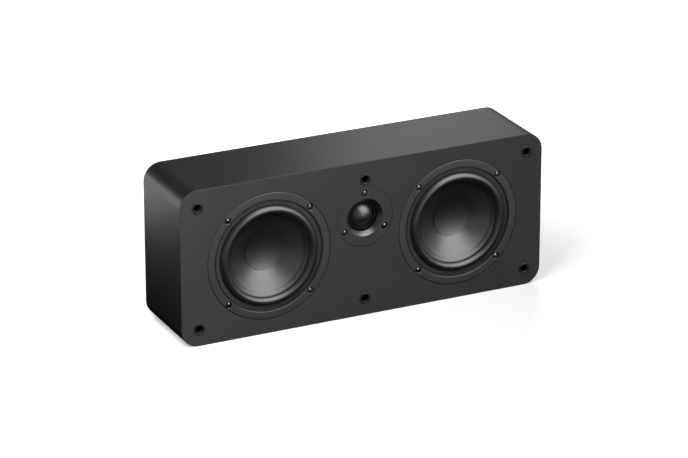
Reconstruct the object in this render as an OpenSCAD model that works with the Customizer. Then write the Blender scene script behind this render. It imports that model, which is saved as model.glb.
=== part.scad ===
// Sealed two-way wall speaker that also stands on its long side.
// Two woofers flank a dome tweeter, and six sockets hold a grille.
// Origin at the centre of the underside, X to the right, Y into the depth, Z up.

/* [Cabinet] */
// Width of the cabinet
cab_w = 433.5; // [424:0.5:450]
// Height of the cabinet as it stands
cab_h = 178; // [174:1:190]
// Depth from the front face to the rear face
cab_d = 98; // [94:1:116]
// Radius of the four long edges
corner_r = 20; // [17:0.5:24]
// Wall of the bent body
wall = 12; // [10:0.5:12.5]
// Thickness of the front baffle
baffle_t = 15; // [13:0.5:17]
// Thickness of the rear panel
rear_t = 12; // [11.5:0.5:14]
// Chamfer that breaks the front edge
edge_break = 0.5; // [0.3:0.1:1]

/* [Bracing and lining] */
// Thickness of a window brace
brace_t = 9; // [6:0.5:10]
// Distance of a brace from the middle
brace_x = 41; // [40:0.5:42]
// Rim left round the windows of a brace
brace_rim = 16; // [12:1:18]
// Bar left between two windows of a brace
brace_bar = 12; // [8:1:14]
// Room between a woofer's magnet and the wadding behind it
wadding_gap = 5.7; // [3:0.1:10]
// Room between the wadding and the walls
wadding_margin = 6; // [3:1:12]

/* [Grille sockets] */
// Distance of a socket from the nearest edges
socket_inset = 20; // [18:0.5:21]
// Radius of the hole that takes a grille pin
socket_hole_r = 3.9; // [3.4:0.1:4.1]
// Wall of a socket
socket_wall = 1.3; // [1:0.1:1.6]
// Width of the rounded rim
socket_rim_w = 2.4; // [2:0.1:2.8]
// Height of the rim above the baffle
socket_rim_h = 1.4; // [1:0.1:2]
// Depth of the hole behind the front face
socket_depth = 11; // [8:0.5:11.5]

/* [Woofer frame] */
// Distance of a woofer from the middle
woofer_x = 113.4; // [112:0.2:116]
// Width of the flange outside the step
flange_w = 8.7; // [8:0.1:9.5]
// Thickness of the mounting flange
flange_t = 5; // [4.5:0.1:5.5]
// Depth of the step
step_t = 2; // [1.5:0.1:2.3]
// Thickness of the ring that covers the edge of the surround
gasket_t = 0.8; // [0.6:0.1:1]
// Width of that ring
gasket_w = 5.9; // [5.4:0.1:6.5]
// Distance of the wall of the basket inside the step
basket_inset = 1; // [0.7:0.1:2]
// Sheet thickness of the basket
basket_t = 2; // [1.6:0.1:2.4]
// Outer radius of the ledge that carries the spider
ledge_r = 44; // [43:0.2:45]
// Height of the pot between that ledge and the motor
pot_h = 9.5; // [9:0.1:11]
// Number of spokes
spokes = 6; // [4:2:8]
// Angle that one spoke spans
spoke_angle = 16; // [14:1:18]
// Thickness of a foam seal under a flange
seal_t = 1; // [0.6:0.1:1.5]
// Distance of a screw from the edge of the frame
screw_edge = 4.2; // [4:0.1:4.6]

/* [Woofer diaphragm] */
// Mean radius of the half roll
roll_r = 52.2; // [51.9:0.1:52.4]
// Radius of the roll in section
roll_section = 5; // [4.6:0.1:5.1]
// Thickness of the rubber
rubber_t = 0.6; // [0.5:0.05:0.65]
// Inner radius of the lip bonded to the cone
lip_r = 43; // [42:0.2:45]
// Depth of the front of the cone at its rim
cone_rim_d = 3.2; // [3:0.1:3.6]
// Slope of the cone at its rim
cone_slope = 0.45; // [0.4:0.01:0.48]
// Growth of that slope for each millimetre inward, halved
cone_flare = 0.0027; // [0.001:0.0001:0.0035]
// Wall of the cone
cone_t = 0.9; // [0.6:0.1:1.1]
// Radius of the dust cap
cap_r = 21.4; // [19:0.2:23]
// Sag of the hollow dust cap
cap_sag = 3.2; // [1.5:0.1:3.6]
// Wall of the dust cap
cap_t = 0.7; // [0.5:0.1:0.9]
// Travel of the cone each way
woofer_travel = 4; // [3:0.5:5]

/* [Woofer motor] */
// Radius of the pole piece
pole_r = 12.3; // [12:0.05:12.4]
// Radius of the vent through the pole
pole_vent_r = 4; // [2.5:0.5:6]
// Inner radius of the coil former
former_r = 12.7; // [12.65:0.05:12.8]
// Wall of the former
former_t = 0.35; // [0.2:0.05:0.4]
// Thickness of the winding
winding_t = 0.85; // [0.6:0.05:0.9]
// Height of the winding
winding_h = 10; // [7:0.5:11]
// Radius of the hole in the top plate
gap_r = 14.3; // [14.2:0.05:14.8]
// Outer radius of the top and back plates
plate_r = 38; // [34:0.5:39]
// Thickness of the top and back plates
plate_t = 5; // [4:0.5:6]
// Outer radius of the magnet
magnet_r = 40; // [38.5:0.5:40.5]
// Radius of the hole in the magnet
magnet_hole_r = 22.5; // [18:0.5:26]
// Height of the magnet
magnet_h = 14; // [13:0.5:16]
// Depth of one wave of the spider
spider_wave = 1.1; // [0.6:0.1:1.2]
// Number of waves of the spider
spider_waves = 4; // [3:1:5]
// Thickness of the spider
spider_t = 0.6; // [0.4:0.1:0.8]

/* [Tweeter] */
// Height of the tweeter above the middle of the cabinet
tweeter_up = 25; // [23:0.5:26]
// Radius of the faceplate
face_r = 33.5; // [32.5:0.1:34]
// Thickness of the faceplate at its rim
face_t = 4; // [3.5:0.1:4.5]
// Radius of the mouth of the waveguide
mouth_r = 21.3; // [20.5:0.1:22.5]
// Radius of the throat of the waveguide
throat_r = 17.2; // [17.1:0.1:18]
// Depth of the throat
throat_d = 7.2; // [6.5:0.1:7.6]
// Depth of the rear of the faceplate
face_depth = 9; // [8.8:0.1:9.4]
// Radius of the dome
dome_r = 13.2; // [12.95:0.05:13.25]
// Height of the dome
dome_h = 7; // [5.5:0.1:7.4]
// Wall of the dome and of its roll
dome_t = 0.4; // [0.3:0.05:0.5]
// Depth of the edge of the dome
dome_edge_d = 8.2; // [8:0.05:8.3]
// Outer radius of the tweeter motor
tweeter_motor_r = 22; // [20.6:0.1:23]
// Radius of the tweeter's pole
tweeter_pole_r = 12.1; // [12:0.05:12.2]
// Thickness of the tweeter's top and back plates
tweeter_plate_t = 3; // [2.5:0.1:4]
// Height of the tweeter's magnet
tweeter_magnet_h = 8; // [6:0.5:10]
// Radius of the cup behind the tweeter
rear_cup_r = 15.5; // [13:0.5:16]
// Height of the cup behind the tweeter
rear_cup_h = 11; // [8:0.5:14]
// Radius of the circle of tweeter screws
tweeter_screw_r = 27.7; // [27.5:0.1:28.4]

/* [Screws] */
// Radius of a driver screw's head
head_r = 3.3; // [3:0.1:3.5]
// Height of a driver screw's head
head_h = 2.2; // [1.8:0.1:2.4]
// Radius of a driver screw's shank
shank_r = 1.9; // [1.6:0.1:2]
// Length of a driver screw under its head
screw_len = 12; // [9:0.5:12.5]
// Radius of a small countersunk screw's head
small_head_r = 2.8; // [2.4:0.1:3]
// Radius of its shank
small_shank_r = 1.4; // [1.2:0.1:1.5]
// Length of a small countersunk screw
small_len = 9; // [7:0.5:9.5]
// Height of its head
small_head_h = 1.6; // [1.3:0.1:1.8]

/* [Terminals] */
// Height of the terminal cup above the underside
cup_z = 50; // [46:1:52]
// Width of the recess of the cup
cup_w = 60; // [54:1:64]
// Height of the recess of the cup
cup_h = 42; // [38:1:48]
// Depth of the recess of the cup
cup_depth = 28; // [26:0.5:30]
// Wall of the cup
cup_wall = 2; // [1.5:0.25:2.5]
// Width of the flange round the recess
cup_flange = 11; // [9:0.5:12]
// Thickness of that flange
cup_flange_t = 2.5; // [2:0.25:3]
// Distance between the two binding posts
post_pitch = 22; // [19:0.5:24]
// Radius of a binding post
post_r = 3; // [2.8:0.1:3.4]
// Radius of the hole that takes a plug
plug_r = 2.05; // [1.95:0.05:2.15]
// Depth of the hole that takes a plug
plug_len = 14; // [12:0.5:15]
// Radius of the cross hole for bare wire
wire_hole_r = 1.5; // [1:0.1:1.7]
// Length of a post inside the cabinet
post_in = 14; // [12:0.5:16]
// Radius of a thumb nut
nut_r = 6.8; // [6:0.1:8]
// Height of a thumb nut
nut_h = 12; // [10:0.5:13]
// Travel of a thumb nut along its post
nut_travel = 4; // [2:0.5:4.5]

/* [Hangers] */
// Distance of a hanger from the middle
hanger_x = 150; // [130:1:170]
// Distance of a hanger below the top
hanger_drop = 53; // [48:1:64]
// Width of a hanger plate
hanger_w = 26; // [24:0.5:30]
// Height of a hanger plate
hanger_h = 54; // [53:0.5:60]
// Thickness of a hanger plate
hanger_t = 1.5; // [1.2:0.1:2]
// Radius of the corners of a hanger plate
hanger_corner = 4; // [2:0.5:6]
// Radius of the round end that takes a screw head
key_r = 5.5; // [5:0.1:6]
// Half width of the slot
key_slot = 2.75; // [2.5:0.05:3]
// Length of the slot from the middle of the round end
key_len = 17; // [14:0.5:19]
// Depth of the pocket behind the plate
pocket_t = 7.5; // [6:0.5:8]

/* [Crossover] */
// Width of the circuit board
board_w = 64; // [62:1:68]
// Height of the circuit board
board_h = 62; // [62:1:68]
// Thickness of the circuit board
board_t = 1.6; // [1.2:0.1:2]
// Height of the spacers under the board
spacer_h = 5; // [4:0.5:8]
// Room between the board and the top wall
board_margin = 6; // [4:0.5:8]
// Outer radius of the flat coil
coil_r = 13.5; // [11:0.5:13.5]
// Height of a coil
coil_h = 12; // [8:0.5:12]
// Outer radius of the standing coil
tall_coil_r = 12.5; // [10:0.5:12.5]
// Radius of a capacitor
capacitor_r = 7; // [5:0.5:7]
// Length of a capacitor
capacitor_len = 22; // [16:0.5:22]
// Length of a resistor
resistor_len = 24; // [18:0.5:24]
// Width and height of a resistor
resistor_w = 9; // [6:0.5:9]

// Distance of the flat coil and the parts beside it from the edges of the board
part_margin = 2.5; // [2:0.1:3]
// Distance between two parts on the board
part_gap = 3; // [2:0.1:3.2]

/* [Wiring] */
// Radius of a hook-up wire
wire_r = 1; // [0.7:0.1:1.1]
// Radius of a braided lead
lead_r = 0.5; // [0.4:0.05:0.55]
// Distance between the two wires of a pair
pair_pitch = 4.4; // [3:0.1:4.6]
// Bend of a wire where it leaves a pad or a tab
wire_bend = 8; // [6:0.5:10]
// Sag of a braided lead below the ledge
lead_sag = 6.5; // [5:0.1:7]

/* [Fits] */
// Gap round a driver in its rebate
rebate_gap = 0.35; // [0.25:0.05:0.5]
// Gap round a glued panel
glue_gap = 0.15; // [0.1:0.05:0.2]
// Room round a screw or a post in its hole
hole_gap = 0.1; // [0.05:0.05:0.2]
// Room round a sliding thumb nut
slide_gap = 0.08; // [0.05:0.01:0.1]
// Gap of a bond between a moving part and a soft one
bond_gap = 0.25; // [0.2:0.01:0.3]
// Gap of a bond between two parts that stay together
glue_line = 0.05; // [0.03:0.01:0.1]

/* [Hidden] */

// Finishes
charcoal = [0.17, 0.17, 0.17];
vinyl = [0.13, 0.13, 0.13];
fibreboard = [0.55, 0.42, 0.3];
satin_black = [0.07, 0.07, 0.07];
rubber = [0.12, 0.12, 0.12];
steel = [0.6, 0.6, 0.62];
ferrite = [0.2, 0.2, 0.22];
copper = [0.72, 0.42, 0.25];
brass = [0.8, 0.65, 0.3];
cotton = [0.75, 0.68, 0.5];

// Planes of the cabinet
front_y = -cab_d / 2;
rear_y = cab_d / 2;
baffle_back_y = front_y + baffle_t;
rear_in_y = rear_y - rear_t;
mid_z = cab_h / 2;
inner_w = cab_w - 2 * wall;
inner_h = cab_h - 2 * wall;
inner_r = corner_r - wall;
over = 1;
fine = 96;

// Sockets of the grille
socket_x = cab_w / 2 - socket_inset;
socket_z = cab_h / 2 - socket_inset;
socket_r = socket_hole_r + socket_wall;
socket_floor = 1;

// Woofer, as depths behind the front face and radii from its axis
rim_inner_r = roll_r + roll_section + hole_gap;
gasket_in_r = rim_inner_r + 0.2;
step_r = gasket_in_r + gasket_w + hole_gap;
frame_r = step_r + flange_w;
basket_r = step_r - basket_inset;
woofer_screw_r = frame_r - screw_edge;
woofer_rebate = flange_t + seal_t;
woofer_hole_r = basket_r + 1.3;
lip_d = step_t + gasket_t + glue_line;
lip_seat_d = lip_d + rubber_t + glue_line;
rim_t = 2.5;
counterbore_r = head_r + 0.4;
counterbore_d = head_h + 0.1;
wall_top_d = lip_seat_d + rim_t + 2;
pot_r = plate_r + basket_t;
cone_r = roll_r - roll_section + 0.2;
neck_r = former_r + former_t + glue_line;
neck_d = cone_d(neck_r);
cap_edge_d = cone_d(cap_r) - cap_t - 0.15;
spider_room = 1.25;
ledge_d = neck_d + cone_t + woofer_travel + spider_room + spider_t + glue_line;
seat_d = ledge_d + pot_h;
spider_d = ledge_d - spider_t / 2 - glue_line;
gap_mid_d = seat_d + plate_t / 2;
former_top_d = neck_d - 0.6;
former_end_d = gap_mid_d + winding_h / 2 + 1;
magnet_d = seat_d + plate_t;
back_d = magnet_d + magnet_h;
spider_in_r = former_r + former_t + 0.15;
spider_out_r = ledge_r - basket_t - 0.5;
wave_start_r = 16;
wave_end_r = spider_out_r - 5;

// Terminal strip of a woofer
strip_w = 18;
strip_t = 1.2;
strip_in = pot_r + 1;
strip_out = pot_r + 15;
strip_d = ledge_d + basket_t - 0.2 + glue_line;
tab_w = 4.8;
tab_t = 0.8;
tab_len = 8;
tab_x = 5;
tab_at = strip_out - 4.5;
tab_end_d = strip_d + strip_t + tab_len;

// Tweeter, as depths and radii again
tweeter_z = mid_z + tweeter_up;
tweeter_rebate = face_t + seal_t;
tweeter_neck_r = tweeter_motor_r + 1.5;
tweeter_hole_r = tweeter_neck_r + 0.6;
tweeter_roll_in = dome_r + 0.2;
tweeter_roll_out = throat_r - 0.3;
tweeter_roll_mid = (tweeter_roll_in + tweeter_roll_out) / 2;
tweeter_roll_section = (tweeter_roll_out - tweeter_roll_in) / 2;
tweeter_lip_r = throat_r + 3;
tweeter_former_r = tweeter_pole_r + 0.25;
tweeter_former_t = 0.2;
tweeter_winding_t = 0.4;
tweeter_gap_r = tweeter_former_r + tweeter_former_t + tweeter_winding_t + 0.25;
tweeter_magnet_d = face_depth + tweeter_plate_t;
tweeter_back_d = tweeter_magnet_d + tweeter_magnet_h;
tweeter_end_d = tweeter_back_d + tweeter_plate_t;
tweeter_block_at = (rear_cup_r + tweeter_motor_r) / 2;
block_h = 4;
tweeter_tab_x = 3.3;
tweeter_tab_w = 2.8;
tweeter_tab_len = 6;

// Terminals, in depths behind the rear face
cup_floor = cup_depth + cup_wall;
cup_corner = 6;
cup_screw_x = cup_w / 2 + cup_flange / 2 + 0.5;
cup_screw_z = cup_h / 2 - 4;
collar_t = 1.5;
collar_r = post_r + 2.5;
post_x = post_pitch / 2;
nut_rest = 0.3;
thread_spare = 3.2;
post_out = collar_t + nut_rest + nut_h + nut_travel + thread_spare;
lock_t = 3;
lock_w = 2.8;

// Wadding
wadding_t = rear_in_y - bond_gap - (front_y + back_d + plate_t) - wadding_gap;
wadding_corner = 12;

// Hangers
hanger_z = cab_h - hanger_drop;
key_drop = 8;
hanger_screw_z = hanger_h / 2 - 5;
pocket_w = 2 * key_r + 4;
pocket_h = key_len + key_r + key_slot + 4;

// Crossover board
board_z = cab_h - wall - board_margin - board_h / 2;
board_y = rear_in_y - spacer_h - board_t;
board_hole_in = 3;
board_hole_x = board_w / 2 - board_hole_in;
board_hole_z = board_h / 2 - board_hole_in;
board_corner = 2;
pad_x = 5;
pad_pitch = 6;
pad_low = board_z - board_h / 2 + 4;
wire_seat = 0.3;

// Places of the parts, from the middle of the board
flat_coil_at = [coil_r + part_margin - board_w / 2, board_h / 2 - coil_r - part_margin];
tall_coil_at = [board_w / 2 - 8 - coil_h / 2, tall_coil_r + part_margin + 1 - board_h / 2];
capacitor_at = [
    [board_w / 2 - 7 - capacitor_len / 2, board_h / 2 - capacitor_r - part_margin - 1.5],
    [capacitor_len / 2 + 5 - board_w / 2, flat_coil_at[1] - coil_r - part_gap - capacitor_r]
];
resistor_at = [
    [board_w / 2 - 4 - resistor_len / 2, capacitor_at[0][1] - capacitor_r - part_gap - resistor_w / 2],
    [resistor_len / 2 + 7 - board_w / 2, resistor_w / 2 + part_margin + 1 - board_h / 2]
];

// Depth of the front of the cone at radius r
function cone_d(r) = let (t = roll_r - roll_section - r)
    cone_rim_d + cone_slope * t + cone_flare * t * t;

// Points of a wave between two radii, moved by a distance along the axis
function wave(start, end, shift) = [
    for (i = [0 : 8 * spider_waves])
        let (s = i / (8 * spider_waves))
        [start + s * (end - start), spider_d + shift + spider_wave * sin(360 * spider_waves * s)]
];

function reversed(list) = [for (i = [len(list) - 1 : -1 : 0]) list[i]];

// A smooth curve through points, with a number of steps for each stretch
function curve(p, steps) = concat(
    [for (i = [0 : len(p) - 2]) for (k = [0 : steps - 1])
        let (a = p[max(i - 1, 0)], b = p[i], c = p[i + 1], d = p[min(i + 2, len(p) - 1)], t = k / steps)
        0.5 * (2 * b + (c - a) * t + (2 * a - 5 * b + 4 * c - d) * t * t
            + (3 * b - a - 3 * c + d) * t * t * t)],
    [p[len(p) - 1]]);

function unit(v) = v / norm(v);

function tangents(p) = [for (i = [0 : len(p) - 1])
    unit(p[min(i + 1, len(p) - 1)] - p[max(i - 1, 0)])];

// Normals carried along the curve without twist
function normals(t, last, i = 0) = i == len(t) ? [] :
    let (n = unit(last - (last * t[i]) * t[i])) concat([n], normals(t, n, i + 1));

module tube(p, r, sides = 8) {
    t = tangents(p);
    n = normals(t, unit(cross(t[0], [0.3, 0.5, 0.81])));
    points = [for (i = [0 : len(p) - 1]) for (k = [0 : sides - 1])
        p[i] + r * (cos(360 * k / sides) * n[i] + sin(360 * k / sides) * cross(t[i], n[i]))];
    last = (len(p) - 1) * sides;
    polyhedron(points, concat(
        [[for (k = [0 : sides - 1]) k]],
        [for (i = [0 : len(p) - 2]) for (k = [0 : sides - 1])
            let (a = i * sides + k, b = i * sides + (k + 1) % sides)
            [a, a + sides, b + sides, b]],
        [[for (k = [sides - 1 : -1 : 0]) last + k]]));
}

module rounded_rect(w, h, r) {
    square([w - 2 * r, h], center = true);
    square([w, h - 2 * r], center = true);
    for (x = [-1, 1], y = [-1, 1])
        translate([x * (w / 2 - r), y * (h / 2 - r)])
            circle(r, $fn = fine);
}

// A flat outline stood up in the middle of the cabinet, between two depths
module slab(y0, y1) {
    translate([0, y1, mid_z])
        rotate([90, 0, 0])
            linear_extrude(y1 - y0)
                children();
}

// Local z runs into the depth, from the front face at the axis of a driver
module driver(x, z) {
    translate([x, front_y, z])
        rotate([-90, 0, 0])
            children();
}

// Local z runs out of the rear face, and local y runs down
module rear(x, z) {
    translate([x, rear_y, z])
        rotate([-90, 0, 0])
            children();
}

module turned(profile) {
    rotate_extrude($fn = fine)
        polygon(profile);
}

module ring(r_out, r_in, d0, d1) {
    translate([0, 0, d0])
        difference() {
            cylinder(r = r_out, h = d1 - d0, $fn = fine);
            translate([0, 0, -over])
                cylinder(r = r_in, h = d1 - d0 + 2 * over, $fn = fine);
        }
}

module hole(r, d0, d1) {
    translate([0, 0, d0])
        cylinder(r = r, h = d1 - d0, $fn = 48);
}

module woofer_screw_places() {
    for (a = [45 : 90 : 315])
        rotate([0, 0, a])
            translate([woofer_screw_r, 0, 0])
                children();
}

module tweeter_screw_places() {
    for (a = [30, 150, 270])
        rotate([0, 0, a])
            translate([tweeter_screw_r, 0, 0])
                children();
}

module socket_places() {
    for (x = [-1, 0, 1], z = [-1, 1])
        driver(x * socket_x, mid_z + z * socket_z)
            children();
}

// Layer whose outline shrinks by c over its height c, for a chamfered edge
module chamfer_layer(w, h, r, c) {
    for (turn = [0, 1]) {
        length = turn == 0 ? w - 2 * r : h - 2 * r;
        across = turn == 0 ? h : w;
        rotate([0, 0, 90 * turn])
            rotate([90, 0, 90])
                translate([0, 0, -length / 2])
                    linear_extrude(length)
                        polygon([[-across / 2, 0], [across / 2, 0], [across / 2 - c, c], [c - across / 2, c]]);
    }
    for (x = [-1, 1], y = [-1, 1])
        translate([x * (w / 2 - r), y * (h / 2 - r), 0])
            cylinder(r1 = r, r2 = r - c, h = c, $fn = fine);
}

module cabinet_wrap() {
    color(vinyl)
        slab(baffle_back_y, rear_y)
            difference() {
                rounded_rect(cab_w, cab_h, corner_r);
                rounded_rect(inner_w, inner_h, inner_r);
            }
}

module front_baffle() {
    color(charcoal)
        difference() {
            union() {
                slab(front_y + edge_break, baffle_back_y)
                    rounded_rect(cab_w, cab_h, corner_r);
                translate([0, front_y + edge_break, mid_z])
                    rotate([90, 0, 0])
                        chamfer_layer(cab_w, cab_h, corner_r, edge_break);
            }
            for (s = [-1, 1])
                driver(s * woofer_x, mid_z) {
                    hole(frame_r + rebate_gap, -over, woofer_rebate);
                    hole(woofer_hole_r, -over, baffle_t + over);
                    woofer_screw_places()
                        hole(shank_r + hole_gap, 0, baffle_t + over);
                }
            driver(0, tweeter_z) {
                hole(face_r + rebate_gap, -over, tweeter_rebate);
                hole(tweeter_hole_r, -over, baffle_t + over);
                tweeter_screw_places()
                    hole(shank_r + hole_gap, 0, baffle_t + over);
            }
            socket_places()
                hole(socket_r + hole_gap, -over, baffle_t + over);
        }
}

module key_outline(grow) {
    translate([0, key_drop])
        circle(key_r + grow, $fn = 48);
    translate([0, key_drop - key_len])
        circle(key_slot + grow, $fn = 48);
    translate([-key_slot - grow, key_drop - key_len])
        square([2 * (key_slot + grow), key_len]);
}

module hanger_screw_places() {
    for (x = [-1, 1], z = [-1, 1])
        rear(x * hanger_x, hanger_z)
            translate([0, z * hanger_screw_z, 0])
                children();
}

module cup_screw_places() {
    for (x = [-1, 1], z = [-1, 1])
        rear(x * cup_screw_x, cup_z)
            translate([0, z * cup_screw_z, 0])
                children();
}

module rear_panel() {
    around = cup_flange + glue_gap;
    through = cup_wall + glue_gap;
    color(vinyl)
        difference() {
            slab(rear_in_y, rear_y)
                rounded_rect(inner_w - 2 * glue_gap, inner_h - 2 * glue_gap, inner_r - glue_gap);
            rear(0, cup_z) {
                translate([0, 0, -cup_flange_t])
                    linear_extrude(cup_flange_t + over)
                        rounded_rect(cup_w + 2 * around, cup_h + 2 * around, cup_corner + glue_gap);
                translate([0, 0, -rear_t - over])
                    linear_extrude(rear_t + over)
                        rounded_rect(cup_w + 2 * through, cup_h + 2 * through, cup_corner);
            }
            cup_screw_places()
                hole(small_shank_r + hole_gap, -rear_t - over, 0);
            for (x = [-1, 1])
                rear(x * hanger_x, hanger_z) {
                    translate([0, 0, -hanger_t])
                        linear_extrude(hanger_t + over)
                            rounded_rect(hanger_w + 2 * glue_gap, hanger_h + 2 * glue_gap, hanger_corner);
                    translate([0, key_drop - key_len / 2, -hanger_t - pocket_t])
                        linear_extrude(pocket_t + over)
                            rounded_rect(pocket_w, pocket_h, hanger_corner);
                }
            hanger_screw_places()
                hole(small_shank_r + hole_gap, -rear_t - over, 0);
        }
}

module brace(s) {
    depth = rear_in_y - baffle_back_y;
    height = inner_h - 2 * glue_gap;
    windows = 3;
    window_r = 6;
    window_h = (height - 2 * brace_rim - (windows - 1) * brace_bar) / windows;
    color(fibreboard)
        translate([s * brace_x - brace_t / 2, (baffle_back_y + rear_in_y) / 2, mid_z])
            rotate([90, 0, 90])
                linear_extrude(brace_t)
                    difference() {
                        square([depth, height], center = true);
                        for (i = [0 : windows - 1])
                            translate([0, (i - (windows - 1) / 2) * (window_h + brace_bar)])
                                rounded_rect(depth - 2 * brace_rim, window_h, window_r);
                    }
}

module wadding(s) {
    x0 = brace_x + brace_t / 2 + wadding_margin;
    x1 = inner_w / 2 - wadding_margin;
    y1 = rear_in_y - bond_gap;
    edge = wadding_t / 4;
    color([0.85, 0.85, 0.82])
        translate([s * (x0 + x1) / 2, y1, mid_z])
            rotate([90, 0, 0]) {
                linear_extrude(wadding_t - edge)
                    rounded_rect(x1 - x0, inner_h - 2 * wadding_margin, wadding_corner);
                translate([0, 0, wadding_t - edge])
                    chamfer_layer(x1 - x0, inner_h - 2 * wadding_margin, wadding_corner, edge);
            }
}

module grille_sockets() {
    rim_r = socket_rim_w / 2;
    color(rubber)
        socket_places()
            rotate_extrude($fn = fine) {
                translate([socket_hole_r, 0])
                    square([socket_wall, socket_depth]);
                translate([0, socket_depth])
                    square([socket_r, socket_floor]);
                translate([socket_hole_r, rim_r - socket_rim_h])
                    square([socket_rim_w, socket_rim_h - rim_r]);
                translate([socket_hole_r + rim_r, rim_r - socket_rim_h])
                    intersection() {
                        circle(rim_r, $fn = 48);
                        translate([-rim_r, -rim_r])
                            square([2 * rim_r, rim_r]);
                    }
            }
}

module woofer_seal(s) {
    color(rubber)
        driver(s * woofer_x, mid_z)
            difference() {
                ring(frame_r - 1, woofer_hole_r + 0.4, flange_t, woofer_rebate);
                woofer_screw_places()
                    hole(shank_r + hole_gap, 0, baffle_t);
            }
}

module woofer_gasket(s) {
    color(satin_black)
        driver(s * woofer_x, mid_z)
            ring(step_r - hole_gap, gasket_in_r, step_t, step_t + gasket_t);
}

module woofer_basket(s) {
    window = 360 / spokes - spoke_angle;
    reach = frame_r + 20;
    half_w = reach * tan(window / 2);
    rib_t = 3;
    color(satin_black)
        driver(s * woofer_x, mid_z)
            difference() {
                union() {
                    difference() {
                        turned([
                            [step_r, 0], [frame_r, 0], [frame_r, flange_t], [basket_r, flange_t],
                            [basket_r, wall_top_d], [ledge_r, ledge_d], [ledge_r, ledge_d + basket_t - 0.2],
                            [pot_r, ledge_d + basket_t - 0.2], [pot_r, seat_d], [gap_r + 0.7, seat_d],
                            [gap_r + 0.7, seat_d - basket_t], [pot_r - basket_t, seat_d - basket_t],
                            [pot_r - basket_t, ledge_d], [ledge_r - basket_t, ledge_d],
                            [basket_r - basket_t, wall_top_d], [basket_r - basket_t, lip_seat_d + rim_t],
                            [rim_inner_r, lip_seat_d + rim_t], [rim_inner_r, lip_seat_d], [step_r, lip_seat_d]
                        ]);
                        for (i = [0 : spokes - 1])
                            rotate([0, 0, i * 360 / spokes])
                                translate([0, 0, wall_top_d + 1.5])
                                    linear_extrude(ledge_d - wall_top_d - 3)
                                        polygon([[0, 0], [reach, -half_w], [reach, half_w]]);
                    }
                    for (i = [0 : spokes - 1])
                        rotate([90, 0, (i + 0.5) * 360 / spokes])
                            translate([0, 0, -rib_t / 2])
                                linear_extrude(rib_t)
                                    polygon([
                                        [basket_r - 1, flange_t - 1], [basket_r + 0.7, flange_t - 1],
                                        [basket_r + 0.7, baffle_t], [ledge_r + 3, ledge_d + 1],
                                        [ledge_r - 1, ledge_d + 1], [ledge_r - 1, ledge_d],
                                        [basket_r - 1, wall_top_d]
                                    ]);
                }
                woofer_screw_places() {
                    hole(shank_r + 0.4, -over, flange_t + over);
                    hole(counterbore_r, -over, counterbore_d);
                }
            }
}

module woofer_surround(s) {
    in_r = roll_r - roll_section;
    out_r = roll_r + roll_section;
    color(rubber)
        driver(s * woofer_x, mid_z)
            rotate_extrude($fn = fine) {
                difference() {
                    translate([roll_r, step_t])
                        circle(roll_section, $fn = fine);
                    translate([roll_r, step_t])
                        circle(roll_section - rubber_t, $fn = fine);
                    translate([in_r - over, step_t])
                        square([2 * (roll_section + over), roll_section + over]);
                }
                translate([out_r - rubber_t, step_t])
                    square([rubber_t, lip_d + rubber_t - step_t]);
                translate([out_r - rubber_t, lip_d])
                    square([step_r - 0.6 - out_r + rubber_t, rubber_t]);
                polygon([
                    [in_r, step_t], [in_r + rubber_t, step_t],
                    [in_r + rubber_t, cone_d(in_r + rubber_t) - bond_gap],
                    [in_r, cone_d(in_r) - bond_gap], [lip_r, cone_d(lip_r) - bond_gap],
                    [lip_r, cone_d(lip_r) - bond_gap - rubber_t]
                ]);
            }
}

module woofer_cone(s) {
    steps = 10;
    front = [for (i = [0 : steps]) let (r = cone_r + (neck_r - cone_r) * i / steps) [r, cone_d(r)]];
    back = [for (p = front) [p[0], p[1] + cone_t]];
    color(satin_black)
        driver(s * woofer_x, mid_z)
            turned(concat(front, reversed(back)));
}

module woofer_dust_cap(s) {
    bend = (cap_r * cap_r + cap_sag * cap_sag) / (2 * cap_sag);
    color(satin_black)
        driver(s * woofer_x, mid_z)
            rotate_extrude($fn = fine)
                intersection() {
                    translate([0, cap_edge_d + cap_sag - bend])
                        difference() {
                            circle(bend + cap_t, $fn = 360);
                            circle(bend, $fn = 360);
                        }
                    translate([0, cap_edge_d])
                        square([cap_r, cap_sag + cap_t + over]);
                }
}

module woofer_voice_coil(s) {
    driver(s * woofer_x, mid_z) {
        color(steel)
            ring(former_r + former_t, former_r, former_top_d, former_end_d);
        color(copper)
            ring(former_r + former_t + winding_t, former_r + former_t,
                gap_mid_d - winding_h / 2, gap_mid_d + winding_h / 2);
    }
}

module woofer_spider(s) {
    half = spider_t / 2;
    color(cotton)
        driver(s * woofer_x, mid_z)
            turned(concat(
                [[spider_in_r, spider_d - half]],
                wave(wave_start_r, wave_end_r, -half),
                [[spider_out_r, spider_d - half], [spider_out_r, spider_d + half]],
                reversed(wave(wave_start_r, wave_end_r, half)),
                [[spider_in_r, spider_d + half]]
            ));
}

module woofer_top_plate(s) {
    color(steel)
        driver(s * woofer_x, mid_z)
            ring(plate_r, gap_r, seat_d, magnet_d);
}

module woofer_magnet(s) {
    bevel = 1;
    color(ferrite)
        driver(s * woofer_x, mid_z)
            turned([
                [magnet_hole_r, magnet_d], [magnet_r - bevel, magnet_d], [magnet_r, magnet_d + bevel],
                [magnet_r, back_d - bevel], [magnet_r - bevel, back_d], [magnet_hole_r, back_d]
            ]);
}

module woofer_back_plate(s) {
    flare = 1.5;
    color(steel)
        driver(s * woofer_x, mid_z)
            turned([
                [pole_vent_r, seat_d], [pole_r, seat_d], [pole_r, back_d], [plate_r, back_d],
                [plate_r, back_d + plate_t], [pole_vent_r + flare, back_d + plate_t],
                [pole_vent_r, back_d + plate_t - flare]
            ]);
}

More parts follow.
